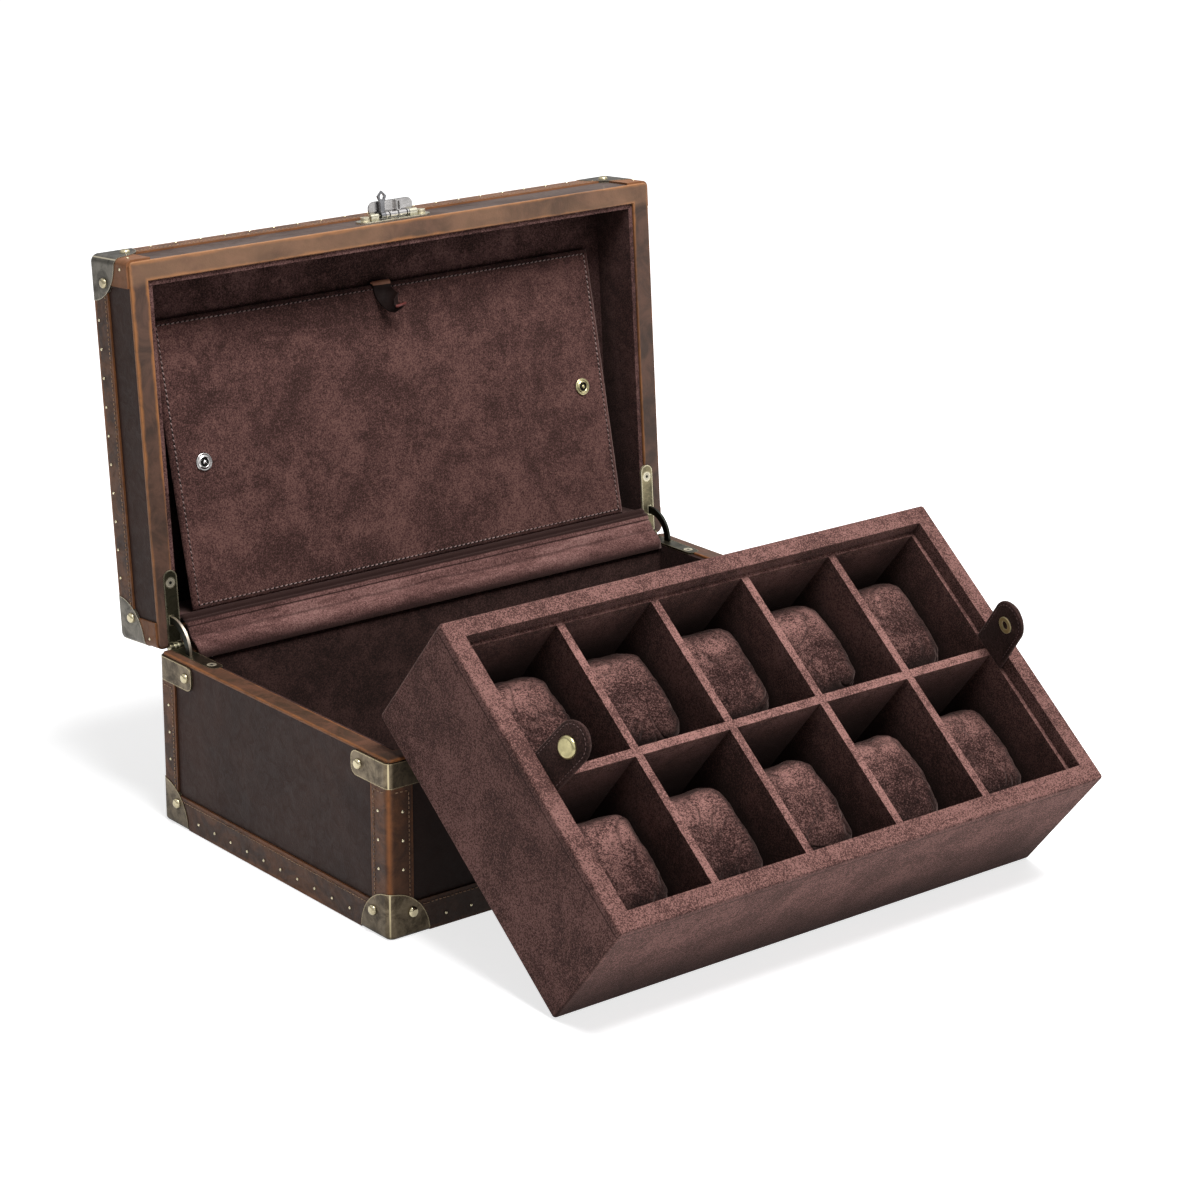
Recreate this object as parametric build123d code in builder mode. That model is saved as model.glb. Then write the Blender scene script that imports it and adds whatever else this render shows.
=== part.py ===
from build123d import *
import os
from math import asin, cos, degrees, radians, sin

# Watch display case: a leather trunk with its lid open and its tray taken out.
# Millimetres and degrees. X runs along the length, Y to the back, Z up.
# The origin is the middle of the base's underside.

# Outer sizes
case_length = 380.0
case_depth = 226.0
base_height = 104.0
lid_height = 39.5
corner_radius = 3.0

# Layers of the case walls
leather = 1.5
board = 10.5
lining = 3.0
binding = 1.5
floor_board = 6.0
lid_board = 2.5
lid_top_lining = 1.5

# Clearances
rim_gap = 0.6
seat_gap = 0.3
running_gap = 0.2
screw_gap = 0.05

# Leather trims on the edges
trim = 1.2
base_trim_width = 19.4
corner_trim_width = 15.0
lid_trim_width = 15.0

# Brass corners, clips and rivets
cap = 1.6
cap_reach = 27.0
cap_edge_round = 2.4
cap_rivet_inset = 14.0
clip = 1.2
clip_reach = 33.0
clip_height = 14.5
clip_end_round = 5.0
clip_rivet_inset = 26.5
rivet_radius = 3.1
rivet_height = 1.9
rivet_round = 1.7

# Quadrant stay hinges
lid_angle = 94.6
hinge_overhang = 1.0
leaf_width = 9.0
leaf_length = 46.0
leaf_inset = 6.0
knuckle_radius = 2.4
knuckle_gap = 0.2
pin_radius = 1.2
pin_fit = 0.05
stay_outer = 18.5
stay_width = 4.5
stay_thickness = 1.6
stay_tuck = 21.0
stay_stud_angle = 15.0
stay_stud_radius = 1.75
stay_stud_height = 0.8
stay_inset = 9.2
stay_slot_gap = 0.3
stay_pocket_gap = 0.3
screw_radius = 1.5
screw_head_radius = 2.7
screw_length = 8.0
leaf_screw_place = 38.5

# Clasp
clasp_length = 52.0
clasp_width = 11.0
clasp_plate = 1.2
clasp_rise = 9.6
clasp_barrel_radius = 1.8
clasp_pin_radius = 0.9
clasp_axis_height = 3.2
clasp_barrel_length = 34.0
clasp_end_knuckle = 5.6
clasp_screw_height = 2.4
hasp_reach = 8.4
hasp_length = 32.0
hasp_corner = 4.0
hook_place = -7.7
hook_reach = 14.8
hook_width = 6.4
hook_wire = 1.5
hook_neck = 4.0
hook_eye_rise = 0.4
staple_place = 4.6
staple_reach = 7.6
staple_width = 3.4
staple_wire = 1.1
stud_radius = 1.2
stud_reach = 4.4
stud_drop = 1.6
catch_length = 30.0
catch_height = 11.0
catch_plate = 1.0
catch_corner = 3.0
catch_screw_inset = 5.0
catch_screw_rise = 3.5
catch_screw_height = 0.6

# Tray, with the clearances it has inside the base
tray_end_gap = 1.2
tray_side_gap = 1.0
tray_height = 86.0
tray_wall = 11.0
tray_floor = 8.0
tray_round = 2.0
tray_edge_round = 1.6
tray_lean = 39.2
tray_middle = -8.4
liner = 2.5
liner_drop = 8.5
divider = 5.0
divider_gap = 0.1
columns = 5
rows = 2

# Cushions
cushion_gap = 0.6
cushion_depth = 66.0
cushion_height = 47.0
cushion_section_round = 20.0
cushion_end_round = 8.0

# Tabs with snap caps
tab_length = 42.0
tab_width = 24.0
tab_clearance = 0.5
tab_thickness = 2.6
tab_drop = 5.5
tab_left_angle = 79.0
tab_right_angle = 79.0
tab_snap_place = 26.5
tab_snap_radius = 6.3
tab_snap_height = 2.2
tab_snap_round = 1.75
tab_edge_round = 1.28

# Cover panel with snap studs and pull tab
panel_thickness = 4.7
panel_gap = 0.5
panel_corner = 2.3
panel_round = 2.2
panel_rise = 3.7
snap_inset = 19.5
snap_radius = 4.9
snap_height = 0.8
snap_post_radius = 2.2
snap_post_height = 2.2
pull_width = 13.0
pull_length = 22.0
pull_thickness = 1.6
pull_corner = 3.0
pull_hem = 3.0
pull_overhang = 2.0

# Suede strip over the hinge line
strip_thickness = 1.2
strip_end_gap = 0.6
strip_hem = 6.0

# Underside pad
pad_inset = 6.0

# Places that follow from the sizes
half_length = case_length / 2
half_depth = case_depth / 2
wall = leather + board
cavity_length = case_length - 2 * (wall + lining)
cavity_depth = case_depth - 2 * (wall + lining)
tray_length = cavity_length - 2 * tray_end_gap
tray_width = cavity_depth - 2 * tray_side_gap
strip_length = cavity_length - 2 * strip_end_gap
foot = cap
floor_top = foot + floor_board
board_top = base_height - binding
cavity_floor = floor_top + lining
lid_rim = base_height + rim_gap
lid_board_bottom = lid_rim + binding
lid_top = lid_rim + lid_height
lid_board_top = lid_top - leather
lid_wall_top = lid_board_top - lid_board
hinge_y = half_depth + hinge_overhang
hinge_z = base_height + rim_gap / 2
hinge_axis = Axis((0, hinge_y, hinge_z), (1, 0, 0))
leaf_x = half_length - leaf_inset - leaf_width / 2
stay_x = half_length - stay_inset
stay_radius = stay_outer - stay_width / 2
clasp_y = -half_depth - clasp_axis_height
clasp_z = lid_rim + clasp_rise
stud_z = base_height - stud_drop
stud_tip_y = -half_depth - stud_reach

os.makedirs("parts", exist_ok=True)


def save(part, name):
    part.label = name
    export_step(part, f"parts/{name}.step")


def opened(part):
    # The lid is modelled shut and turned back to its open stop
    return part.rotate(hinge_axis, -lid_angle)


def case_block(grow, bottom, top):
    with BuildPart() as block:
        with BuildSketch(Plane.XY.offset(bottom)):
            RectangleRounded(case_length + 2 * grow, case_depth + 2 * grow, corner_radius + grow)
        extrude(amount=top - bottom)
    return block.part


def box_between(x0, x1, y0, y1, z0, z1):
    with BuildPart() as block:
        with BuildSketch(Plane.XY.offset(z0)):
            with Locations(((x0 + x1) / 2, (y0 + y1) / 2)):
                Rectangle(x1 - x0, y1 - y0)
        extrude(amount=z1 - z0)
    return block.part


def rod_along_x(x0, x1, y, z, radius):
    with BuildPart() as rod:
        with BuildSketch(Plane.YZ.offset(x0)):
            with Locations((y, z)):
                Circle(radius)
        extrude(amount=x1 - x0)
    return rod.part


# Hinge clearances that several layers share, for the right side; the left is its mirror image
def stay_mortise():
    with BuildPart() as mortise:
        half_width = stay_thickness / 2 + stay_stud_height + stay_pocket_gap
        with BuildSketch(Plane.YZ.offset(stay_x - half_width)):
            with Locations((hinge_y, hinge_z)):
                Circle(stay_outer + stay_pocket_gap)
                Circle(stay_outer - stay_width - stay_pocket_gap, mode=Mode.SUBTRACT)
        extrude(amount=2 * half_width)
    return mortise.part


def knuckle_notch():
    clear = knuckle_radius + seat_gap
    return rod_along_x(leaf_x - leaf_width / 2 - seat_gap, leaf_x + leaf_width / 2 + seat_gap,
                       hinge_y, hinge_z, clear)


def leaf_outline(bottom, top, gap):
    # A leaf seen from above: square at the hinge, round at its far end
    reach = leaf_length + gap
    with BuildPart() as outline:
        with BuildSketch(Plane.XY.offset(bottom)):
            radius = leaf_width / 2 + gap
            with Locations((leaf_x, hinge_y - (reach - radius) / 2)):
                Rectangle(2 * radius, reach - radius)
            with Locations((leaf_x, hinge_y - reach + radius)):
                Circle(radius)
        extrude(amount=top - bottom)
    return outline.part


def screw_hole(bottom, top):
    with BuildPart() as hole:
        with BuildSketch(Plane.XY.offset(bottom)):
            with Locations((leaf_x, hinge_y - leaf_screw_place)):
                Circle(screw_radius + screw_gap)
        extrude(amount=top - bottom)
    return hole.part


def both_sides(part):
    return [part, mirror(part, about=Plane.YZ)]


mortise = stay_mortise()
notch = knuckle_notch()
base_leaf_recess = leaf_outline(board_top, base_height + seat_gap, running_gap)
lid_leaf_recess = leaf_outline(lid_rim - seat_gap, lid_board_bottom, running_gap)
base_screw_hole = screw_hole(board_top - screw_length, board_top)
lid_screw_hole = screw_hole(lid_board_bottom, lid_board_bottom + screw_length)


# Wooden boards of the base and of the lid
def end_board(bottom, top, hole):
    with BuildPart() as end:
        add(box_between(half_length - wall, half_length - leather,
                        -half_depth + leather, half_depth - leather, bottom, top))
        add(mortise, mode=Mode.SUBTRACT)
        add(notch, mode=Mode.SUBTRACT)
        add(hole, mode=Mode.SUBTRACT)
    return end.part


def long_board(side, bottom, top):
    near = half_depth - wall
    far = half_depth - leather
    low, high = sorted((side * near, side * far))
    return box_between(-half_length + wall, half_length - wall, low, high, bottom, top)


base_right = end_board(floor_top, board_top, base_screw_hole)
save(base_right, "base_board_right")
save(mirror(base_right, about=Plane.YZ), "base_board_left")
save(long_board(-1, floor_top, board_top), "base_board_front")
save(long_board(1, floor_top, board_top), "base_board_back")
save(box_between(-half_length + leather, half_length - leather,
                 -half_depth + leather, half_depth - leather, foot, floor_top), "base_floor_board")

lid_right = end_board(lid_board_bottom, lid_wall_top, lid_screw_hole)
save(opened(lid_right), "lid_board_right")
save(opened(mirror(lid_right, about=Plane.YZ)), "lid_board_left")
save(opened(long_board(-1, lid_board_bottom, lid_wall_top)), "lid_board_front")
save(opened(long_board(1, lid_board_bottom, lid_wall_top)), "lid_board_back")
save(opened(box_between(-half_length + leather, half_length - leather,
                        -half_depth + leather, half_depth - leather,
                        lid_wall_top, lid_board_top)), "lid_top_board")

# Outer leather of the base, open above and below
with BuildPart() as base_leather:
    add(case_block(0, foot, board_top))
    add(box_between(-half_length + leather, half_length - leather,
                    -half_depth + leather, half_depth - leather, foot, board_top), mode=Mode.SUBTRACT)
    add(both_sides(notch), mode=Mode.SUBTRACT)
save(base_leather.part, "base_leather")

# Outer leather of the lid, closed over its top
with BuildPart() as lid_leather:
    add(case_block(0, lid_board_bottom, lid_top))
    fillet(lid_leather.faces().sort_by(Axis.Z)[-1].edges(), leather)
    add(box_between(-half_length + leather, half_length - leather,
                    -half_depth + leather, half_depth - leather,
                    lid_board_bottom, lid_board_top), mode=Mode.SUBTRACT)
    add(both_sides(notch), mode=Mode.SUBTRACT)
save(opened(lid_leather.part), "lid_leather")


# Leather bindings on both rims, with a recess for each hinge leaf
def rim_binding(bottom, outer_side, recess):
    with BuildPart() as strip:
        add(case_block(0, bottom, bottom + binding))
        with BuildSketch(Plane.XY.offset(bottom)):
            Rectangle(case_length - 2 * wall, case_depth - 2 * wall)
        extrude(amount=binding, mode=Mode.SUBTRACT)
        rim = strip.faces().filter_by(Axis.Z).sort_by(Axis.Z)[outer_side]
        fillet(rim.edges(), binding / 2)
        add(both_sides(recess), mode=Mode.SUBTRACT)
        add(both_sides(notch), mode=Mode.SUBTRACT)
    return strip.part


save(rim_binding(board_top, -1, base_leaf_recess), "base_rim_binding")
save(opened(rim_binding(lid_rim, 0, lid_leaf_recess)), "lid_rim_binding")

# Suede lining of the base: four walls and a floor
with BuildPart() as base_lining:
    add(box_between(-half_length + wall, half_length - wall,
                    -half_depth + wall, half_depth - wall, floor_top, board_top))
    add(box_between(-half_length + wall + lining, half_length - wall - lining,
                    -half_depth + wall + lining, half_depth - wall - lining,
                    cavity_floor, board_top), mode=Mode.SUBTRACT)
save(base_lining.part, "base_lining")

# Suede lining of the lid, thinner over its top
with BuildPart() as lid_suede:
    add(box_between(-half_length + wall, half_length - wall,
                    -half_depth + wall, half_depth - wall, lid_board_bottom, lid_wall_top))
    add(box_between(-half_length + wall + lining, half_length - wall - lining,
                    -half_depth + wall + lining, half_depth - wall - lining,
                    lid_board_bottom, lid_wall_top - lid_top_lining), mode=Mode.SUBTRACT)
save(opened(lid_suede.part), "lid_lining")


# Brass corner caps: the outer shell of the case inside a ball at each corner
def corner_balls(z):
    with BuildPart() as balls:
        with Locations(*[(sx * (half_length + cap), sy * (half_depth + cap), z)
                         for sx in (-1, 1) for sy in (-1, 1)]):
            Sphere(cap_reach)
    return balls.part


base_balls = corner_balls(0)
lid_balls = corner_balls(lid_top + cap)

with BuildPart() as base_caps:
    add(case_block(cap, 0, base_height / 2))
    fillet(base_caps.faces().sort_by(Axis.Z)[0].edges(), cap_edge_round)
    add(case_block(0, foot, base_height / 2), mode=Mode.SUBTRACT)
    add(base_balls, mode=Mode.INTERSECT)
save(base_caps.part, "base_corner_caps")

with BuildPart() as lid_caps:
    add(case_block(cap, lid_board_bottom, lid_top + cap))
    fillet(lid_caps.faces().sort_by(Axis.Z)[-1].edges(), cap_edge_round)
    add(case_block(0, lid_board_bottom, lid_top), mode=Mode.SUBTRACT)
    add(lid_balls, mode=Mode.INTERSECT)
save(opened(lid_caps.part), "lid_corner_caps")

# Leather trims of the base: a bottom band and four uprights up to the clips
clip_bottom = board_top - seat_gap - clip_height
with BuildPart() as upright_zone:
    with BuildSketch(Plane.XY.offset(base_trim_width)):
        with Locations(*[(sx * half_length, sy * half_depth) for sx in (-1, 1) for sy in (-1, 1)]):
            Rectangle(2 * corner_trim_width, 2 * corner_trim_width)
    extrude(amount=clip_bottom - base_trim_width)
    add(case_block(2 * trim, foot - trim, base_trim_width))

with BuildPart() as base_trims:
    add(case_block(trim, foot - trim, clip_bottom))
    add(case_block(0, foot - trim, clip_bottom), mode=Mode.SUBTRACT)
    add(upright_zone.part, mode=Mode.INTERSECT)
    add(base_balls, mode=Mode.SUBTRACT)
save(base_trims.part, "base_trims")

# Leather trims of the lid: a frame over its top edges and four short uprights
with BuildPart() as lid_trim_zone:
    with BuildSketch(Plane.XY.offset(lid_rim + binding)):
        with Locations(*[(sx * half_length, sy * half_depth) for sx in (-1, 1) for sy in (-1, 1)]):
            Rectangle(2 * lid_trim_width, 2 * lid_trim_width)
    extrude(amount=lid_height)
    with BuildSketch(Plane.XY.offset(lid_top - lid_trim_width)):
        Rectangle(case_length + 4 * trim, case_depth + 4 * trim)
        Rectangle(case_length - 2 * lid_trim_width, case_depth - 2 * lid_trim_width, mode=Mode.SUBTRACT)
    extrude(amount=lid_trim_width + 2 * trim)

with BuildPart() as lid_trims:
    add(case_block(trim, lid_board_bottom, lid_top + trim))
    fillet(lid_trims.faces().sort_by(Axis.Z)[-1].edges(), leather)
    add(case_block(0, lid_board_bottom, lid_top), mode=Mode.SUBTRACT)
    add(lid_trim_zone.part, mode=Mode.INTERSECT)
    add(lid_balls, mode=Mode.SUBTRACT)
    add(both_sides(notch), mode=Mode.SUBTRACT)
save(opened(lid_trims.part), "lid_trims")

# Brass clips round the top corners of the base
with BuildPart() as clip_zone:
    with BuildSketch(Plane.YZ.offset(-half_length - 2 * clip)):
        with Locations(*[(sy * half_depth, clip_bottom + clip_height / 2) for sy in (-1, 1)]):
            RectangleRounded(2 * clip_reach, clip_height, clip_end_round)
    extrude(amount=case_length + 4 * clip)

with BuildPart() as clip_front_zone:
    with BuildSketch(Plane.XZ.offset(-half_depth - 2 * clip)):
        with Locations(*[(sx * half_length, clip_bottom + clip_height / 2) for sx in (-1, 1)]):
            RectangleRounded(2 * clip_reach, clip_height, clip_end_round)
    extrude(amount=case_depth + 4 * clip)

with BuildPart() as clips:
    add(case_block(clip, clip_bottom, clip_bottom + clip_height))
    add(case_block(0, clip_bottom, clip_bottom + clip_height), mode=Mode.SUBTRACT)
    add(clip_zone.part, mode=Mode.INTERSECT)
    add(clip_front_zone.part, mode=Mode.INTERSECT)
    add(both_sides(notch), mode=Mode.SUBTRACT)
save(clips.part, "base_top_clips")


# Domed brass rivets, standing on a face
def rivets(planes):
    with BuildPart() as dome:
        with BuildSketch():
            Circle(rivet_radius)
        extrude(amount=rivet_height)
        fillet(dome.faces().sort_by(Axis.Z)[-1].edges(), rivet_round)
    return Compound([dome.part.moved(Location(plane)) for plane in planes])


def side_planes(inset, z, out):
    places = []
    for sx in (-1, 1):
        for sy in (-1, 1):
            places.append(Plane(origin=(sx * (half_length + out), sy * (half_depth - inset), z),
                                x_dir=(0, 1, 0), z_dir=(sx, 0, 0)))
            places.append(Plane(origin=(sx * (half_length - inset), sy * (half_depth + out), z),
                                x_dir=(1, 0, 0), z_dir=(0, sy, 0)))
    return places


base_places = side_planes(cap_rivet_inset, foot + cap_rivet_inset - cap, cap)
base_places += side_planes(clip_rivet_inset, clip_bottom + clip_height / 2, clip)
save(rivets(base_places), "base_rivets")
lid_places = side_planes(cap_rivet_inset, lid_top - cap_rivet_inset + cap, cap)
lid_places += [Plane(origin=(sx * (half_length - cap_rivet_inset),
                             sy * (half_depth - cap_rivet_inset), lid_top + cap))
               for sx in (-1, 1) for sy in (-1, 1)]
save(opened(rivets(lid_places)), "lid_rivets")

# Pad under the floor, cut clear of the corner caps
with BuildPart() as pad:
    with BuildSketch():
        RectangleRounded(case_length - 2 * pad_inset, case_depth - 2 * pad_inset, corner_radius)
        with Locations(*[(sx * half_length, sy * half_depth) for sx in (-1, 1) for sy in (-1, 1)]):
            Circle(cap_reach + seat_gap, mode=Mode.SUBTRACT)
    extrude(amount=foot)
save(pad.part, "underside_pad")

# Quadrant stay hinge, right side
knuckle = (leaf_width - 2 * knuckle_gap) / 3
knuckle_starts = [leaf_x - leaf_width / 2 + i * (knuckle + knuckle_gap) for i in range(3)]
leaf_back = hinge_y - knuckle_radius - 2 * running_gap


def hinge_leaf(bottom, own_knuckles):
    top = bottom + binding
    with BuildPart() as leaf:
        add(leaf_outline(bottom, top, 0))
        add(box_between(leaf_x - leaf_width, leaf_x + leaf_width, leaf_back, hinge_y,
                        bottom, top), mode=Mode.SUBTRACT)
        for start in own_knuckles:
            add(box_between(start, start + knuckle, leaf_back, hinge_y, bottom, top))
            add(rod_along_x(start, start + knuckle, hinge_y, hinge_z, knuckle_radius))
        for start in own_knuckles:
            add(rod_along_x(start, start + knuckle, hinge_y, hinge_z, pin_radius + pin_fit),
                mode=Mode.SUBTRACT)
        slot = stay_thickness / 2 + stay_slot_gap
        add(box_between(stay_x - slot, stay_x + slot,
                        hinge_y - stay_outer - stay_slot_gap,
                        hinge_y - stay_outer + stay_width + 2 * stay_slot_gap,
                        bottom, top), mode=Mode.SUBTRACT)
        with BuildSketch(Plane.XY.offset(bottom)):
            with Locations((leaf_x, hinge_y - leaf_screw_place)):
                Circle(screw_head_radius + screw_gap)
        extrude(amount=binding, mode=Mode.SUBTRACT)
    return leaf.part


base_leaf = hinge_leaf(board_top, [knuckle_starts[0], knuckle_starts[2]])
lid_leaf = hinge_leaf(lid_rim, [knuckle_starts[1]])
save(base_leaf, "base_hinge_leaf_right")
save(mirror(base_leaf, about=Plane.YZ), "base_hinge_leaf_left")
save(opened(lid_leaf), "lid_hinge_leaf_right")
save(opened(mirror(lid_leaf, about=Plane.YZ)), "lid_hinge_leaf_left")

pin = rod_along_x(knuckle_starts[0], knuckle_starts[2] + knuckle, hinge_y, hinge_z, pin_radius)
save(Compound(both_sides(pin)), "hinge_pins")


# Curved stay: a band round the hinge line with a stop stud near each end
def stay():
    start, end = -stay_tuck, lid_angle + stay_tuck
    inner = stay_outer - stay_width

    def at(radius, angle):
        return (hinge_y - radius * cos(radians(angle)), hinge_z + radius * sin(radians(angle)))

    middle = (start + end) / 2
    with BuildPart() as band:
        with BuildSketch(Plane.YZ.offset(stay_x - stay_thickness / 2)):
            with BuildLine():
                outside = ThreePointArc(at(stay_outer, start), at(stay_outer, middle), at(stay_outer, end))
                inside = ThreePointArc(at(inner, start), at(inner, middle), at(inner, end))
                Line(outside @ 0, inside @ 0)
                Line(outside @ 1, inside @ 1)
            make_face()
        extrude(amount=stay_thickness)
        stud_width = stay_thickness + 2 * stay_stud_height
        with BuildSketch(Plane.YZ.offset(stay_x - stud_width / 2)):
            with Locations(at(stay_radius, -stay_stud_angle),
                           at(stay_radius, lid_angle + stay_stud_angle)):
                Circle(stay_stud_radius)
        extrude(amount=stud_width)
    return band.part


right_stay = stay()
save(right_stay, "stay_right")
save(mirror(right_stay, about=Plane.YZ), "stay_left")


# Screws: a flat head in the leaf or plate and a shank in the board
def screw(plane, head_height, shank):
    with BuildPart() as one:
        with BuildSketch(plane):
            Circle(screw_head_radius)
        extrude(amount=head_height)
        with BuildSketch(plane):
            Circle(screw_radius)
        extrude(amount=-shank)
    return one.part


def cap_screw(plane, head_height):
    with BuildPart() as one:
        with BuildSketch(plane):
            Circle(screw_head_radius)
        extrude(amount=head_height)
    return one.part


shank = screw_length - seat_gap
screw_y = hinge_y - leaf_screw_place
base_hinge_screw = screw(Plane(origin=(leaf_x, screw_y, board_top)), binding, shank)
lid_hinge_screw = screw(Plane(origin=(leaf_x, screw_y, lid_board_bottom), z_dir=(0, 0, -1)), binding, shank)
catch_screws = [cap_screw(Plane(origin=(hook_place + side * (catch_length / 2 - catch_screw_inset),
                                        -half_depth - catch_plate,
                                        base_height - catch_height + catch_screw_rise),
                                z_dir=(0, -1, 0)), catch_screw_height) for side in (-1, 1)]
clasp_screws = [cap_screw(Plane(origin=(side * (clasp_length - clasp_width) / 2,
                                        -half_depth - clasp_plate, clasp_z),
                                z_dir=(0, -1, 0)), clasp_screw_height) for side in (-1, 1)]
save(Compound(both_sides(base_hinge_screw) + catch_screws), "base_screws")
save(opened(Compound(both_sides(lid_hinge_screw) + clasp_screws)), "lid_screws")

# Clasp plate on the front of the lid, with the two outer knuckles of its barrel
with BuildPart() as clasp:
    with BuildSketch(Plane.XZ.offset(half_depth)):
        with Locations((0, clasp_z)):
            SlotOverall(clasp_length, clasp_width)
    extrude(amount=clasp_plate)
    for side in (-1, 1):
        outer = side * clasp_barrel_length / 2
        inner = side * (clasp_barrel_length / 2 - clasp_end_knuckle)
        low, high = sorted((outer, inner))
        add(rod_along_x(low, high, clasp_y, clasp_z, clasp_barrel_radius))
        add(box_between(low, high, clasp_y, -half_depth - clasp_plate / 2,
                        clasp_z - clasp_barrel_radius, clasp_z + clasp_barrel_radius))
    add(rod_along_x(-clasp_barrel_length / 2, clasp_barrel_length / 2, clasp_y, clasp_z,
                    clasp_pin_radius + pin_fit), mode=Mode.SUBTRACT)
save(opened(clasp.part), "clasp_plate")
save(opened(rod_along_x(-clasp_barrel_length / 2, clasp_barrel_length / 2,
                        clasp_y, clasp_z, clasp_pin_radius)), "clasp_pin")

# Hasp on the clasp's pin, standing out from the lid: a plate with a small staple
hook_half = hook_wire
hasp_start = hook_place + hook_half + knuckle_gap
hasp_end = clasp_barrel_length / 2 - clasp_end_knuckle - knuckle_gap
hasp_back = clasp_z + clasp_barrel_radius + seat_gap
staple_y = clasp_y - (staple_reach + clasp_barrel_radius) / 2
with BuildPart() as hasp:
    add(rod_along_x(hasp_start, hasp_end, clasp_y, clasp_z, clasp_barrel_radius))
    add(box_between(hasp_start, hasp_end, clasp_y - clasp_barrel_radius, clasp_y, clasp_z, hasp_back))
    with BuildSketch(Plane.XY.offset(hasp_back)):
        with Locations((0, clasp_y - hasp_reach / 2)):
            RectangleRounded(hasp_length, hasp_reach, hasp_corner)
    extrude(amount=clasp_plate)
    add(rod_along_x(hasp_start, hasp_end, clasp_y, clasp_z, clasp_pin_radius + pin_fit),
        mode=Mode.SUBTRACT)
    with BuildSketch(Plane.XY.offset(clasp_z)):
        with Locations((staple_place, staple_y)):
            SlotOverall(staple_reach, staple_width, rotation=90)
            SlotOverall(staple_reach - 2 * staple_wire, staple_width - 2 * staple_wire, rotation=90,
                        mode=Mode.SUBTRACT)
    extrude(amount=hasp_back - clasp_z)
save(opened(hasp.part), "clasp_hasp")

# Pointed hook beside the hasp, an eye on the same pin and an open loop
with BuildPart() as hook:
    with BuildSketch(Plane.XY.offset(clasp_z - hook_wire / 2)):
        with BuildLine():
            tip = clasp_y - hook_reach
            shoulder = tip + hook_width / 2
            root = clasp_y - clasp_barrel_radius / 2
            neck = shoulder + hook_neck
            Polyline((hook_place - hook_half, root), (hook_place - hook_half, neck),
                     (hook_place - hook_width / 2, shoulder), (hook_place, tip),
                     (hook_place + hook_width / 2, shoulder), (hook_place + hook_half, neck),
                     (hook_place + hook_half, root), close=True)
        make_face()
        with Locations((hook_place, shoulder + hook_eye_rise)):
            Ellipse(stud_radius + seat_gap, stud_radius + 2 * seat_gap, mode=Mode.SUBTRACT)
    extrude(amount=hook_wire)
    add(rod_along_x(hook_place - hook_half, hook_place + hook_half, clasp_y, clasp_z, clasp_barrel_radius))
    add(rod_along_x(hook_place - hook_half, hook_place + hook_half, clasp_y, clasp_z,
                    clasp_pin_radius + pin_fit), mode=Mode.SUBTRACT)
save(opened(hook.part), "clasp_hook")

# Catch on the front of the base with the stud that the hook drops over
with BuildPart() as catch:
    with BuildSketch(Plane.XZ.offset(half_depth)):
        with Locations((hook_place, base_height - seat_gap - catch_height / 2)):
            RectangleRounded(catch_length, catch_height, catch_corner)
    extrude(amount=catch_plate)
    with BuildSketch(Plane.XZ.offset(half_depth)):
        with Locations((hook_place, stud_z)):
            Circle(stud_radius)
    extrude(amount=stud_reach)
save(catch.part, "clasp_catch")

# The tray's own frame: X along its length, Y up its slope, Z out of its mouth
lean = radians(tray_lean)
stud_top = stud_z + stud_radius
tray_y = stud_tip_y - (stud_top * cos(lean) + seat_gap) / sin(lean) - seat_gap * cos(lean) / sin(lean)
tray_plane = Plane(origin=(tray_middle, tray_y, seat_gap), x_dir=(1, 0, 0), z_dir=(0, -sin(lean), cos(lean)))
inner_length = tray_length - 2 * tray_wall
inner_width = tray_width - 2 * tray_wall
liner_top = tray_height - liner_drop
cell_length = (inner_length - 2 * liner - (columns - 1) * divider) / columns
cell_width = (inner_width - 2 * liner - (rows - 1) * divider) / rows
middle_width = tray_width / 2


def leaning(part):
    return part.moved(Location(tray_plane))


with BuildPart() as tray:
    with BuildSketch():
        with Locations((0, middle_width)):
            RectangleRounded(tray_length, tray_width, tray_round)
    extrude(amount=tray_height)
    fillet(tray.faces().filter_by(Axis.Z).edges(), tray_edge_round)
    with BuildSketch(Plane.XY.offset(tray_floor)):
        with Locations((0, middle_width)):
            Rectangle(inner_length, inner_width)
    extrude(amount=tray_height, mode=Mode.SUBTRACT)
save(leaning(tray.part), "tray_box")

with BuildPart() as tray_liner:
    with BuildSketch(Plane.XY.offset(tray_floor)):
        with Locations((0, middle_width)):
            Rectangle(inner_length, inner_width)
            Rectangle(inner_length - 2 * liner, inner_width - 2 * liner, mode=Mode.SUBTRACT)
    extrude(amount=liner_top - tray_floor)
save(leaning(tray_liner.part), "tray_liner")

# Half-lapped dividers
divider_height = liner_top - tray_floor
cross_places = [(i - columns / 2) * (cell_length + divider) for i in range(1, columns)]
with BuildPart() as long_divider:
    with BuildSketch(Plane.XY.offset(tray_floor)):
        with Locations((0, middle_width)):
            Rectangle(inner_length - 2 * liner, divider)
    extrude(amount=divider_height)
    with BuildSketch(Plane.XY.offset(tray_floor + divider_height / 2)):
        with Locations(*[(x, middle_width) for x in cross_places]):
            Rectangle(divider + 2 * divider_gap, 2 * divider)
    extrude(amount=divider_height, mode=Mode.SUBTRACT)
save(leaning(long_divider.part), "tray_long_divider")

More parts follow.
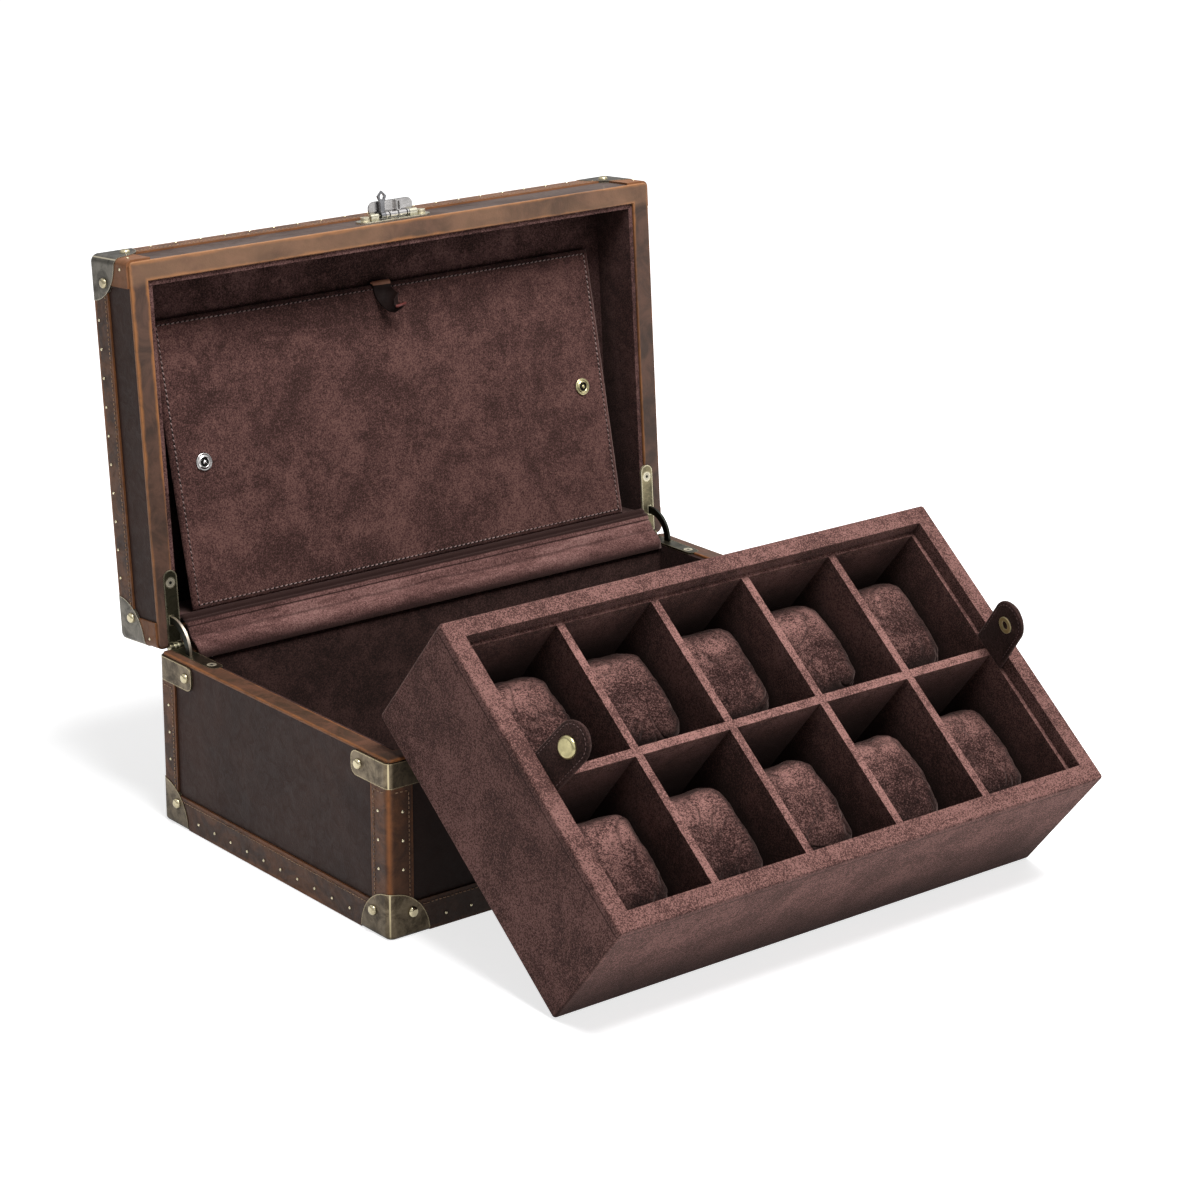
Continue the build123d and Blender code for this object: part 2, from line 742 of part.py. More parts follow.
with BuildPart() as cross_dividers:
    with BuildSketch(Plane.XY.offset(tray_floor)):
        with Locations(*[(x, middle_width) for x in cross_places]):
            Rectangle(divider, inner_width - 2 * liner)
    extrude(amount=divider_height)
    with BuildSketch(Plane.XY.offset(tray_floor)):
        with Locations(*[(x, middle_width) for x in cross_places]):
            Rectangle(2 * divider, divider + 2 * divider_gap)
    extrude(amount=divider_height / 2 + divider_gap, mode=Mode.SUBTRACT)
save(leaning(cross_dividers.part), "tray_cross_dividers")

# One watch cushion: a roll across its compartment, drawn in at both ends
cushion_length = cell_length - 2 * cushion_gap
with BuildPart() as cushion:
    with BuildSketch(Plane.YZ.offset(-cushion_length / 2)):
        RectangleRounded(cushion_depth, cushion_height, cushion_section_round)
    extrude(amount=cushion_length)
    fillet(cushion.faces().filter_by(Axis.X).edges(), cushion_end_round)

cushion_rise = tray_floor + seat_gap + cushion_height / 2
for row in range(rows):
    for column in range(columns):
        x = (column - (columns - 1) / 2) * (cell_length + divider)
        side, way = (("near", -1), ("far", 1))[row]
        # Each cushion lifts out past the tabs, which lie over the middle of the tray
        y = middle_width + way * (tab_width / 2 + tab_clearance + cushion_depth / 2)
        place = Location((x, y, cushion_rise))
        save(leaning(cushion.part.moved(place)), f"cushion_{side}_{column + 1}")


# Tabs: a round-ended flap on each end wall, modelled lying inwards and turned up about its root
def tab(side, angle):
    root_x = side * (inner_length - tab_thickness) / 2
    root = Axis((root_x, middle_width, tray_height - tab_drop), (0, 1, 0))
    x0 = side * (inner_length / 2 - seat_gap)
    with BuildPart() as flap:
        with BuildSketch(Plane.XY.offset(tray_height - tab_drop - tab_thickness / 2)):
            straight = tab_length - tab_width / 2
            with Locations((x0 - side * straight / 2, middle_width)):
                Rectangle(straight, tab_width)
            with Locations((x0 - side * straight, middle_width)):
                Circle(tab_width / 2)
        extrude(amount=tab_thickness)
        root_edges = flap.edges().filter_by(Axis.Y).sort_by(Axis.X)
        fillet(root_edges[-2:] if side > 0 else root_edges[:2], tab_edge_round)
    with BuildPart() as snap:
        top = tray_height - tab_drop + tab_thickness / 2
        with BuildSketch(Plane.XY.offset(top)):
            with Locations((x0 - side * tab_snap_place, middle_width)):
                Circle(tab_snap_radius)
        extrude(amount=tab_snap_height)
        fillet(snap.faces().sort_by(Axis.Z)[-1].edges(), tab_snap_round)
        with BuildSketch(Plane.XY.offset(top - tab_thickness)):
            with Locations((x0 - side * tab_snap_place, middle_width)):
                Circle(snap_radius)
                Circle(snap_post_radius + seat_gap, mode=Mode.SUBTRACT)
        extrude(amount=-snap_height)
    turn = side * angle
    return leaning(flap.part.rotate(root, turn)), leaning(snap.part.rotate(root, turn))


for side, angle, name in ((-1, tab_left_angle, "left"), (1, tab_right_angle, "right")):
    flap_part, snap_part = tab(side, angle)
    save(flap_part, f"tab_{name}")
    save(snap_part, f"tab_snap_{name}")

# Cover panel, stored in the lid with its foot on the rear wall and its head against the top
panel_length = inner_length - 2 * panel_gap
panel_width = inner_width - 2 * panel_gap
panel_foot_y = half_depth - wall - lining - seat_gap
panel_deep = lid_height - leather - lid_board - lid_top_lining - seat_gap
panel_tilt = degrees(asin((panel_deep - panel_rise - panel_thickness) / panel_width))
panel_bottom = lid_rim + panel_rise
half_panel = panel_thickness / 2
panel_turn = Axis((0, panel_foot_y - half_panel, panel_bottom + half_panel), (1, 0, 0))


def stored(part):
    return opened(part.rotate(panel_turn, -panel_tilt))


with BuildPart() as panel:
    with BuildSketch(Plane.XY.offset(panel_bottom)):
        with Locations((0, panel_foot_y - panel_width / 2)):
            RectangleRounded(panel_length, panel_width, panel_corner)
    extrude(amount=panel_thickness)
    fillet(panel.faces().filter_by(Axis.Z).edges(), panel_round)
save(stored(panel.part), "cover_panel")

with BuildPart() as panel_studs:
    for radius, height in ((snap_radius, snap_height), (snap_post_radius, snap_post_height)):
        with BuildSketch(Plane.XY.offset(panel_bottom)):
            with Locations(*[(s * (panel_length / 2 - snap_inset), panel_foot_y - panel_width / 2)
                             for s in (-1, 1)]):
                Circle(radius)
        extrude(amount=-height)
save(stored(panel_studs.part), "panel_studs")

# Pull tab: a short leather loop from the head of the panel
with BuildPart() as pull:
    head = panel_foot_y - panel_width
    with BuildSketch(Plane.YZ.offset(-pull_width / 2)):
        with BuildLine():
            Polyline((head + pull_hem, panel_bottom), (head + pull_hem, panel_bottom - pull_thickness),
                     (head - pull_thickness, panel_bottom - pull_thickness),
                     (head - pull_thickness, panel_bottom + half_panel),
                     (head, panel_bottom + half_panel), (head, panel_bottom), close=True)
        make_face()
    extrude(amount=pull_width)
    with BuildSketch(Plane.XY.offset(panel_bottom - 2 * pull_thickness)):
        with Locations((0, head + pull_length / 2 - pull_overhang)):
            RectangleRounded(pull_width, pull_length, pull_corner)
    extrude(amount=pull_thickness)
save(stored(pull.part), "pull_tab")

# Suede strip that closes the hinge line inside, from the rear lining up to the lid's rim
strip_y = half_depth - wall - lining - seat_gap
strip_end_z = hinge_z + (hinge_overhang + wall + lining) * sin(radians(lid_angle)) + seat_gap
with BuildPart() as strip:
    with BuildSketch(Plane.YZ.offset(-strip_length / 2)):
        with BuildLine():
            Polyline((strip_y, board_top - strip_hem), (strip_y, base_height),
                     (hinge_y, strip_end_z), (hinge_y, strip_end_z + 2 * strip_thickness),
                     (strip_y - strip_thickness, base_height + strip_thickness / 2),
                     (strip_y - strip_thickness, board_top - strip_hem), close=True)
        make_face()
    extrude(amount=strip_length)
save(strip.part, "hinge_strip")

print("tilt of the stored panel", round(panel_tilt, 2))
print("compartment", round(cell_length, 1), "by", round(cell_width, 1))
print("tray foot at", round(tray_y, 2))
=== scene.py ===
import math

import bmesh
import bpy
from mathutils import Matrix, Vector, noise


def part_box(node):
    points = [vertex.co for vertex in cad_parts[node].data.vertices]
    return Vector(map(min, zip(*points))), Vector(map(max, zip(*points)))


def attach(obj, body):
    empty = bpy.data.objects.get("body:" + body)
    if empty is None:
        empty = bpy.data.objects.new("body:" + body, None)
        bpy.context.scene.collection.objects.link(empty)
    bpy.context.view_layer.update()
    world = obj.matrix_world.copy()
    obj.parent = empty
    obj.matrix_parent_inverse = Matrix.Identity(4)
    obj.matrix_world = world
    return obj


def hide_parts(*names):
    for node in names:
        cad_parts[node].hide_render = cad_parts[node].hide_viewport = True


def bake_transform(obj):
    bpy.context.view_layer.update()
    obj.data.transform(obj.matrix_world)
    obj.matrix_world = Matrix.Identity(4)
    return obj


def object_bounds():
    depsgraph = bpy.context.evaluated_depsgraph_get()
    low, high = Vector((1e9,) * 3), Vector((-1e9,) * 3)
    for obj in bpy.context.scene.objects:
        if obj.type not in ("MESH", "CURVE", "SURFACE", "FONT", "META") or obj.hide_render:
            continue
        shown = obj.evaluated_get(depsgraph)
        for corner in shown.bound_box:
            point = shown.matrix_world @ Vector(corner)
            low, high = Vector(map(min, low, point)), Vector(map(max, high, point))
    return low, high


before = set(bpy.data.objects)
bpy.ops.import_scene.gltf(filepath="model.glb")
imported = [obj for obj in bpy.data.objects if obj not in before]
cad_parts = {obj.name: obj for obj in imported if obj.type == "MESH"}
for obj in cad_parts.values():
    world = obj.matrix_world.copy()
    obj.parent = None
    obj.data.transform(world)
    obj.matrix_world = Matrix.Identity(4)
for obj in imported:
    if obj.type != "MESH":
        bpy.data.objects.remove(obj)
cad_low, cad_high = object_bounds()
cad_low, cad_high = list(cad_low), list(cad_high)

MM = 0.001
scene = bpy.context.scene

# Sizes of the case that the pieces here line up with, in millimetres
HALF_X = 190.0
HALF_Y = 113.0
RIM_Z = 104.0
WALL = 12.0
TRIM = 1.2
LID_RIM = 104.6
LID_HEIGHT = 39.5
LID_TOP = LID_RIM + LID_HEIGHT
HINGE = Vector((0, 114.0, 104.3))
LID_ANGLE = math.radians(94.6)
LEAN = math.radians(39.2)
TRAY_ORIGIN = Vector((-8.4, -245.27, 0.3))
TRAY_UP = Vector((0, math.cos(LEAN), math.sin(LEAN)))
TRAY_OUT = Vector((0, -math.sin(LEAN), math.cos(LEAN)))
TRAY_LENGTH = 347.6
TRAY_WIDTH = 194.0
TRAY_HEIGHT = 86.0
TAB_ROOT_X = 161.5
TAB_HEIGHT = 80.5
TAB_TURN = math.radians(79.0)
TAB_WIDTH, TAB_THICK, TAB_LENGTH = 24.0, 2.5, 40.7
PANEL_LENGTH = 324.6
PANEL_WIDTH = 171.0
PANEL_THICK = 4.7
PANEL_TILT = math.radians(8.51)
PANEL_FOOT_Y = 97.7
PANEL_Z = 108.3
BASE_BAND = 19.4
UPRIGHT = 15.0
LID_BAND = 15.0
NAIL_R, NAIL_H, NAIL_PITCH = 0.95, 0.75, 16.9
NAIL_END = 36.5
STITCH_INSET = 2.7
STITCH_PITCH, STITCH_LENGTH, STITCH_THICK = 2.7, 2.0, 0.6


# Places: points given in a part's own frame, turned to where the part is at rest
def turn_x(p, centre, angle):
    y, z = p.y - centre.y, p.z - centre.z
    c, s = math.cos(angle), math.sin(angle)
    return Vector((p.x, centre.y + y * c - z * s, centre.z + y * s + z * c))


def base_place(p):
    return Vector(p) * MM


def lid_place(p):
    """A point of the shut lid, at the open lid."""
    return turn_x(Vector(p), HINGE, -LID_ANGLE) * MM


PANEL_PIVOT = Vector((0, PANEL_FOOT_Y - PANEL_THICK / 2, PANEL_Z + PANEL_THICK / 2))


def panel_place(p):
    """x along the panel, y up from its foot, z out of its front face."""
    flat = Vector((p[0], PANEL_FOOT_Y - p[1], PANEL_Z - p[2]))
    return turn_x(turn_x(flat, PANEL_PIVOT, -PANEL_TILT), HINGE, -LID_ANGLE) * MM


def tray_place(p):
    """x along the tray, y up its slope, z out of its mouth."""
    return (TRAY_ORIGIN + Vector((p[0], 0, 0)) + TRAY_UP * p[1] + TRAY_OUT * p[2]) * MM


def tab_place(side):
    """x out along the tab from its root, y across it, z away from the face that lies down."""
    c, s = math.cos(TAB_TURN), math.sin(TAB_TURN)

    def place(p):
        x = TAB_ROOT_X - p[0] * c + p[2] * s
        z = TAB_HEIGHT + p[0] * s + p[2] * c
        return tray_place((side * x, TRAY_WIDTH / 2 + p[1], z))

    return place


# Node helpers for materials
def add_node(tree, kind, feeds=(), **settings):
    """A node with its settings, and with a value or a link for each input named or numbered in feeds."""
    made = tree.nodes.new("ShaderNode" + kind)
    for key, value in settings.items():
        setattr(made, key, value)
    for key, value in dict(feeds).items():
        if isinstance(value, bpy.types.NodeSocket):
            tree.links.new(value, made.inputs[key])
        elif value is not None:
            made.inputs[key].default_value = value
    return made


def scaled(color, by):
    return tuple(c * by for c in color)


def opaque(color):
    return (*color, 1.0) if isinstance(color, tuple) else color


class Shade:
    def __init__(self, name):
        self.mat = bpy.data.materials.new(name)
        self.mat.use_nodes = True
        self.mat.node_tree.nodes.clear()
        self.coords = self.node("TexCoord").outputs["Object"]

    def node(self, kind, feeds=(), **settings):
        return add_node(self.mat.node_tree, kind, feeds, **settings)

    def math(self, op, a, b=None, clamp=False):
        return self.node("Math", {0: a, 1: b}, operation=op, use_clamp=clamp).outputs[0]

    def plus(self, a, b):
        return self.math("ADD", a, b)

    def less(self, a, b):
        return self.math("SUBTRACT", a, b)

    def times(self, a, b):
        return self.math("MULTIPLY", a, b)

    def larger(self, a, b):
        return self.math("MAXIMUM", a, b)

    def size(self, a):
        return self.math("ABSOLUTE", a)

    def apart(self, a, b):
        return self.size(self.less(a, b))

    def noise(self, scale, detail, rough, distort=0.0, at=None, stretch=None):
        place = at or self.coords
        if stretch:
            place = self.node("Mapping", {"Vector": place, "Scale": stretch}).outputs[0]
        feeds = {"Vector": place, "Scale": scale, "Detail": detail, "Roughness": rough, "Distortion": distort}
        return self.node("TexNoise", feeds).outputs["Fac"]

    def drift(self, amount, *grain):
        """Noise about zero."""
        return self.times(self.less(self.noise(*grain), 0.5), amount)

    def voronoi(self, scale, at=None):
        return self.node("TexVoronoi", {"Vector": at or self.coords, "Scale": scale}).outputs["Distance"]

    def ramp(self, value, low, high, out_low=0.0, out_high=1.0):
        feeds = dict(enumerate((value, low, high, out_low, out_high)))
        return self.node("MapRange", feeds, interpolation_type="SMOOTHSTEP").outputs[0]

    def mix(self, fac, a, b):
        return self.node("Mix", {0: fac, 6: opaque(a), 7: opaque(b)}, data_type="RGBA").outputs[2]

    def bump(self, height, distance, strength):
        return self.node("Bump", {"Height": height, "Distance": distance, "Strength": strength}).outputs[0]

    def local(self, location, angle):
        """Object coordinates turned about X and shifted, so that a turned part is described flat."""
        feeds = {"Vector": self.coords, "Location": location, "Rotation": (angle, 0, 0)}
        return self.node("Mapping", feeds).outputs[0]

    def split(self, vector):
        return tuple(self.node("SeparateXYZ", {0: vector}).outputs)

    def facing(self, way, most, low, high):
        """How far the surface faces a direction, as the amount of painted light on faces turned towards the
        lamps.
        """
        normal = self.node("TexCoord").outputs["Normal"]
        dot = self.node("VectorMath", {0: normal, 1: way}, operation="DOT_PRODUCT")
        return self.ramp(dot.outputs["Value"], low, high, 0.0, most)

    def sunken(self, color, dark, reach, high=0.85):
        """Painted shade: the colour, going to a darker one where other surfaces close in."""
        closed = self.node("AmbientOcclusion", {"Distance": reach}, samples=6).outputs["AO"]
        return self.mix(self.ramp(closed, 0.08, high), dark, color)

    def surface(self, color, rough, normal, more):
        feeds = {"Base Color": color, "Roughness": rough, "Normal": normal, **more}
        shader = self.node("BsdfPrincipled", feeds)
        self.node("OutputMaterial", {"Surface": shader.outputs[0]})
        return self.mat


def shut_mapping():
    """Location and angle that take the open lid's object coordinates back to the shut lid."""
    c, s = math.cos(LID_ANGLE), math.sin(LID_ANGLE)
    y, z = HINGE.y * MM, HINGE.z * MM
    return (0.0, y - (y * c - z * s), z - (y * s + z * c)), LID_ANGLE


def tray_mapping():
    """Location and angle that take the leaning tray's object coordinates back to its own frame."""
    c, s = math.cos(-LEAN), math.sin(-LEAN)
    y, z = TRAY_ORIGIN.y * MM, TRAY_ORIGIN.z * MM
    return (-TRAY_ORIGIN.x * MM, -(y * c - z * s), -(y * s + z * c)), -LEAN


SUEDE_DARK = (0.026, 0.0128, 0.0105)
SUEDE_MID = (0.092, 0.042, 0.037)
SUEDE_LIGHT = (0.185, 0.094, 0.082)


def suede(name, dark=SUEDE_DARK, mid=SUEDE_MID, light=SUEDE_LIGHT, patch=26.0, shift=0.0, seam=None,
          fuzz=1150.0, speckle=3.8, lit_toward=None, rise=0.6, window=(0.4, 1.0), lit_gain=1.5, depth=0.0,
          shade_darkness=0.4, stretch=None, lit_span=None, crease_shade=0.0):
    m = Shade(name)
    at = m.coords
    if shift:
        at = m.node("Mapping", {"Vector": at, "Location": (shift, shift * 1.7, shift * 0.6)}).outputs[0]
    broad = m.noise(patch, 3.0, 0.6, 0.7, at, stretch)
    strokes = m.noise(patch * 2.6, 3.0, 0.62, 1.4, at, stretch)
    grain = m.noise(fuzz, 2.0, 0.75, 0.0, at)
    fine = m.noise(620.0, 3.0, 0.7, 0.3, at)
    nap = m.ramp(m.plus(m.times(broad, 0.62), m.times(strokes, 0.38)), 0.3, 0.72, 0.1, 0.88)
    speck = m.plus(m.times(grain, 0.7), m.times(fine, 0.3))
    tone = m.math("ADD", nap, m.times(m.less(speck, 0.5), speckle), clamp=True)
    lower = m.mix(m.ramp(tone, 0.0, 0.55), dark, mid)
    color = m.mix(m.ramp(tone, 0.5, 1.0), lower, light)
    # Painted light: a lighter copy of the colour on faces turned towards the given way, and, when a span is
    # given, fading in over that stretch up the tray's slope.
    if lit_toward:
        lit_color = m.mix(m.ramp(tone, 0.0, 1.0), scaled(mid, 0.8), scaled(light, lit_gain))
        amount = m.facing(lit_toward, rise, *window)
        if lit_span:
            y = m.split(m.local(*tray_mapping()))[1]
            amount = m.times(amount, m.ramp(y, lit_span[0] * MM, lit_span[1] * MM))
        color = m.mix(amount, color, lit_color)
    # The mask darkens the colour: the tray's seam lines with a line of painted shade below its rim, and
    # painted shade on the hinge strip.
    if seam:
        color = m.mix(seam(m), color, scaled(dark, 0.4))
    height = m.plus(speck, m.times(strokes, 0.6))
    # Painted shade in the creases, which are bumped as well.
    if crease_shade:
        wave = m.noise(30.0, 2.0, 0.5, 1.1, at)
        fold = m.ramp(m.apart(wave, 0.5), 0.0, 0.045, 1.0, 0.0)
        fold = m.times(fold, m.ramp(broad, 0.4, 0.56))
        color = m.mix(m.times(fold, crease_shade), color, dark)
        height = m.less(height, m.times(fold, 2.2))
    # Painted shade where other surfaces close in.
    if depth:
        color = m.sunken(color, scaled(dark, shade_darkness), depth, 0.75)
    more = {"Sheen Weight": 0.3, "Sheen Roughness": 0.45, "Sheen Tint": (0.62, 0.42, 0.38, 1.0),
            "Specular IOR Level": 0.08}
    return m.surface(color, 0.93, m.bump(height, 0.0007, 0.55), more)


def tray_seams_and_fold_shade(m):
    """Dark seam lines down the tray's corners, and a faint line of painted shade round it below the rim, at a
    fold.
    """
    x, y, z = m.split(m.local(*tray_mapping()))
    half_x, half_y = TRAY_LENGTH / 2, TRAY_WIDTH / 2
    end = m.ramp(m.size(x), (half_x - 1.1) * MM, (half_x - 0.4) * MM)
    side = m.ramp(m.apart(y, half_y * MM), (half_y - 1.1) * MM, (half_y - 0.4) * MM)
    below = m.apart(z, (TRAY_HEIGHT - 5.0) * MM)
    ring = m.times(m.ramp(below, 0.8 * MM, 0.2 * MM), m.larger(end, side))
    return m.larger(m.times(m.times(end, side), 0.85), m.times(ring, 0.75))


def strip_shade(m):
    """Painted shade on the hinge strip: darker towards its foot and at its head, and dark along two creases.
    """
    z = m.split(m.coords)[2]
    level = m.plus(z, m.drift(5.0 * MM, 24.0, 3.0, 0.6, 0.4))
    shade = m.ramp(level, 110.0 * MM, 101.0 * MM, 0.0, 0.92)
    for place, at, half, depth in ((level, 111.6, 0.9, 0.45), (z, 116.9, 0.6, 0.95)):
        line = m.ramp(m.apart(place, at * MM), half * MM, half * 0.2 * MM, 0.0, depth)
        shade = m.larger(shade, line)
    return m.larger(shade, m.ramp(z, 118.9 * MM, 119.7 * MM))


def edge_wear_and_reflection(m, radius):
    """1 along outward edges, from the bend of the surface within the radius."""
    bevel = m.node("Bevel", {"Radius": radius}, samples=4).outputs[0]
    flat = m.node("NewGeometry").outputs["Normal"]
    dot = m.node("VectorMath", {0: bevel, 1: flat}, operation="DOT_PRODUCT")
    return m.ramp(dot.outputs["Value"], 0.985, 0.86)


def lid_front_light(m, color, tone, most):
    """Painted light: lighter in patches along the front of the lid, which is its top while the lid stands
    open.
    """
    y = m.split(m.local(*shut_mapping()))[1]
    amount = m.ramp(y, (WALL + 4.0 - HALF_Y) * MM, (WALL - 1.0 - HALF_Y) * MM, 0.0, most)
    patches = m.ramp(m.noise(15.0, 4.0, 0.6, 0.5), 0.36, 0.6, 0.35, 1.0)
    return m.mix(m.times(amount, patches), color, tone)


def leather(name, deep, worn, gloss, shine=0.3, front=None, depth=0.0):
    m = Shade(name)
    crease = m.noise(130.0, 6.0, 0.65, 1.2)
    color = m.mix(m.ramp(m.noise(16.0, 5.0, 0.6, 0.6), 0.3, 0.75), deep, worn)
    # Painted light along the lid's front.
    if front:
        color = lid_front_light(m, color, *front)
    # Painted shade where other surfaces close in.
    if depth:
        color = m.sunken(color, scaled(deep, 0.3), depth)
    height = m.plus(m.times(m.voronoi(900.0), 0.35), crease)
    rough = m.ramp(crease, 0.2, 0.8, gloss - 0.08, gloss + 0.14)
    return m.surface(color, rough, m.bump(height, 0.00035, 0.5), {"Specular IOR Level": shine})


def banded_leather(name, at, band, shades, gloss, front=None, depth=0.0, patchy=0.5, inner=0.55):
    """Burnished leather: bright at both edges of a band and browner between them.
    band(m, x, y, z) gives the place across the strip, from 0 to 1."""
    m = Shade(name)
    place = m.local(*at) if at else m.coords
    across = band(m, *m.split(place))
    middle = m.apart(m.times(across, 2.0), 1.0)
    middle = m.plus(middle, m.drift(0.5, 60.0, 4.0, 0.6, 0.4))
    edge = m.ramp(m.plus(middle, m.drift(patchy, 13.0, 3.0, 0.6, 0.3)), 0.68, 1.05)
    edge = m.times(edge, m.ramp(across, 0.55, 0.9, 1.0, inner))
    blotch = m.ramp(m.noise(48.0, 5.0, 0.68, 0.9), 0.36, 0.66)
    streak = m.noise(220.0, 4.0, 0.6, 0.5)
    dark, mid, tan = shades
    color = m.mix(edge, m.mix(blotch, dark, mid), tan)
    color = m.mix(m.ramp(streak, 0.52, 0.75, 0.0, 0.35), color, dark)
    # Painted light along the lid's front.
    if front:
        color = lid_front_light(m, color, *front)
    # Painted shade where other surfaces close in.
    if depth:
        color = m.sunken(color, scaled(dark, 0.4), depth)
    height = m.plus(m.times(m.voronoi(850.0, place), 0.3), streak)
    rough = m.ramp(streak, 0.2, 0.8, gloss - 0.08, gloss + 0.12)
    return m.surface(color, rough, m.bump(height, 0.00035, 0.55), {"Specular IOR Level": 0.18})


def rim_band(m, x, y, z):
    """Across the rim, from the lining to the outer edge of the case."""
    dx = m.less(m.size(x), (HALF_X - WALL) * MM)
    dy = m.less(m.size(y), (HALF_Y - WALL) * MM)
    return m.math("DIVIDE", m.larger(dx, dy), WALL * MM, clamp=True)


def from_sides(m, x, y):
    """How far inside the case's ends, and how far inside its front and back."""
    return m.less(HALF_X * MM, m.size(x)), m.less(HALF_Y * MM, m.size(y))


def trim_band_base(m, x, y, z):
    """Across the bottom band by height, and across the uprights by the distance from the corner."""
    upright = m.math("DIVIDE", m.larger(*from_sides(m, x, y)), UPRIGHT * MM)
    return m.math("MINIMUM", upright, m.math("DIVIDE", z, BASE_BAND * MM), clamp=True)


def trim_band_lid(m, x, y, z):
    """Across the bands round the lid's upper edge, by the distance from that edge."""
    side = m.math("MINIMUM", *from_sides(m, x, y))
    return m.math("DIVIDE", m.larger(side, m.less(LID_TOP * MM, z)), LID_BAND * MM, clamp=True)


def cap_edge(at=None):
    """A mask for a cap: its edges and the fold down its rounded upright corner, rubbed bright and given a
    painted highlight.
    """
    def mask(m):
        x, y, z = m.split(m.local(*at) if at else m.coords)
        dx = m.less(m.size(x), (HALF_X - 4.0) * MM)
        dy = m.less(m.size(y), (HALF_Y - 4.0) * MM)
        near = m.ramp(m.math("MINIMUM", dx, dy), 0.5 * MM, 1.5 * MM)
        fold = m.times(m.ramp(m.apart(dx, dy), 1.0 * MM, 0.2 * MM), near)
        return m.larger(edge_wear_and_reflection(m, 0.0011), fold)

    return mask


def stay_edge(m):
    """1 on the outer rim of the left stay, where a highlight is painted."""
    x, y, z = m.split(m.coords)
    y, z = m.less(y, HINGE.y * MM), m.less(z, HINGE.z * MM)
    reach = m.math("SQRT", m.plus(m.times(y, y), m.times(z, z)))
    return m.times(m.ramp(reach, 18.25 * MM, 18.45 * MM), m.math("LESS_THAN", x, 0.0))


def metal(name, color, dark, rough, patina, edge, radius=0.0011, mask=None, metallic=1.0, depth=0.0):
    m = Shade(name)
    clouds = m.noise(95.0, 7.0, 0.72, 0.5)
    shade = m.mix(m.ramp(clouds, 0.38, 0.66, 0.0, patina), color, dark)
    # The edge colour along the masked edges: where it is bright, on the brass, it is rubbed wear with a
    # painted highlight; the dark edge colour of the nickel and the hook is a painted reflection; on the left
    # stay it is a painted highlight.
    shade = m.mix(mask(m) if mask else edge_wear_and_reflection(m, radius), shade, edge)
    # Painted shade where other surfaces close in.
    if depth:
        shade = m.sunken(shade, scaled(dark, 0.3), depth)
    rough = m.ramp(clouds, 0.3, 0.7, rough - 0.06, rough + 0.1)
    return m.surface(shade, rough, m.bump(m.noise(900.0, 3.0, 0.6), 0.0001, 0.25), {"Metallic": metallic})
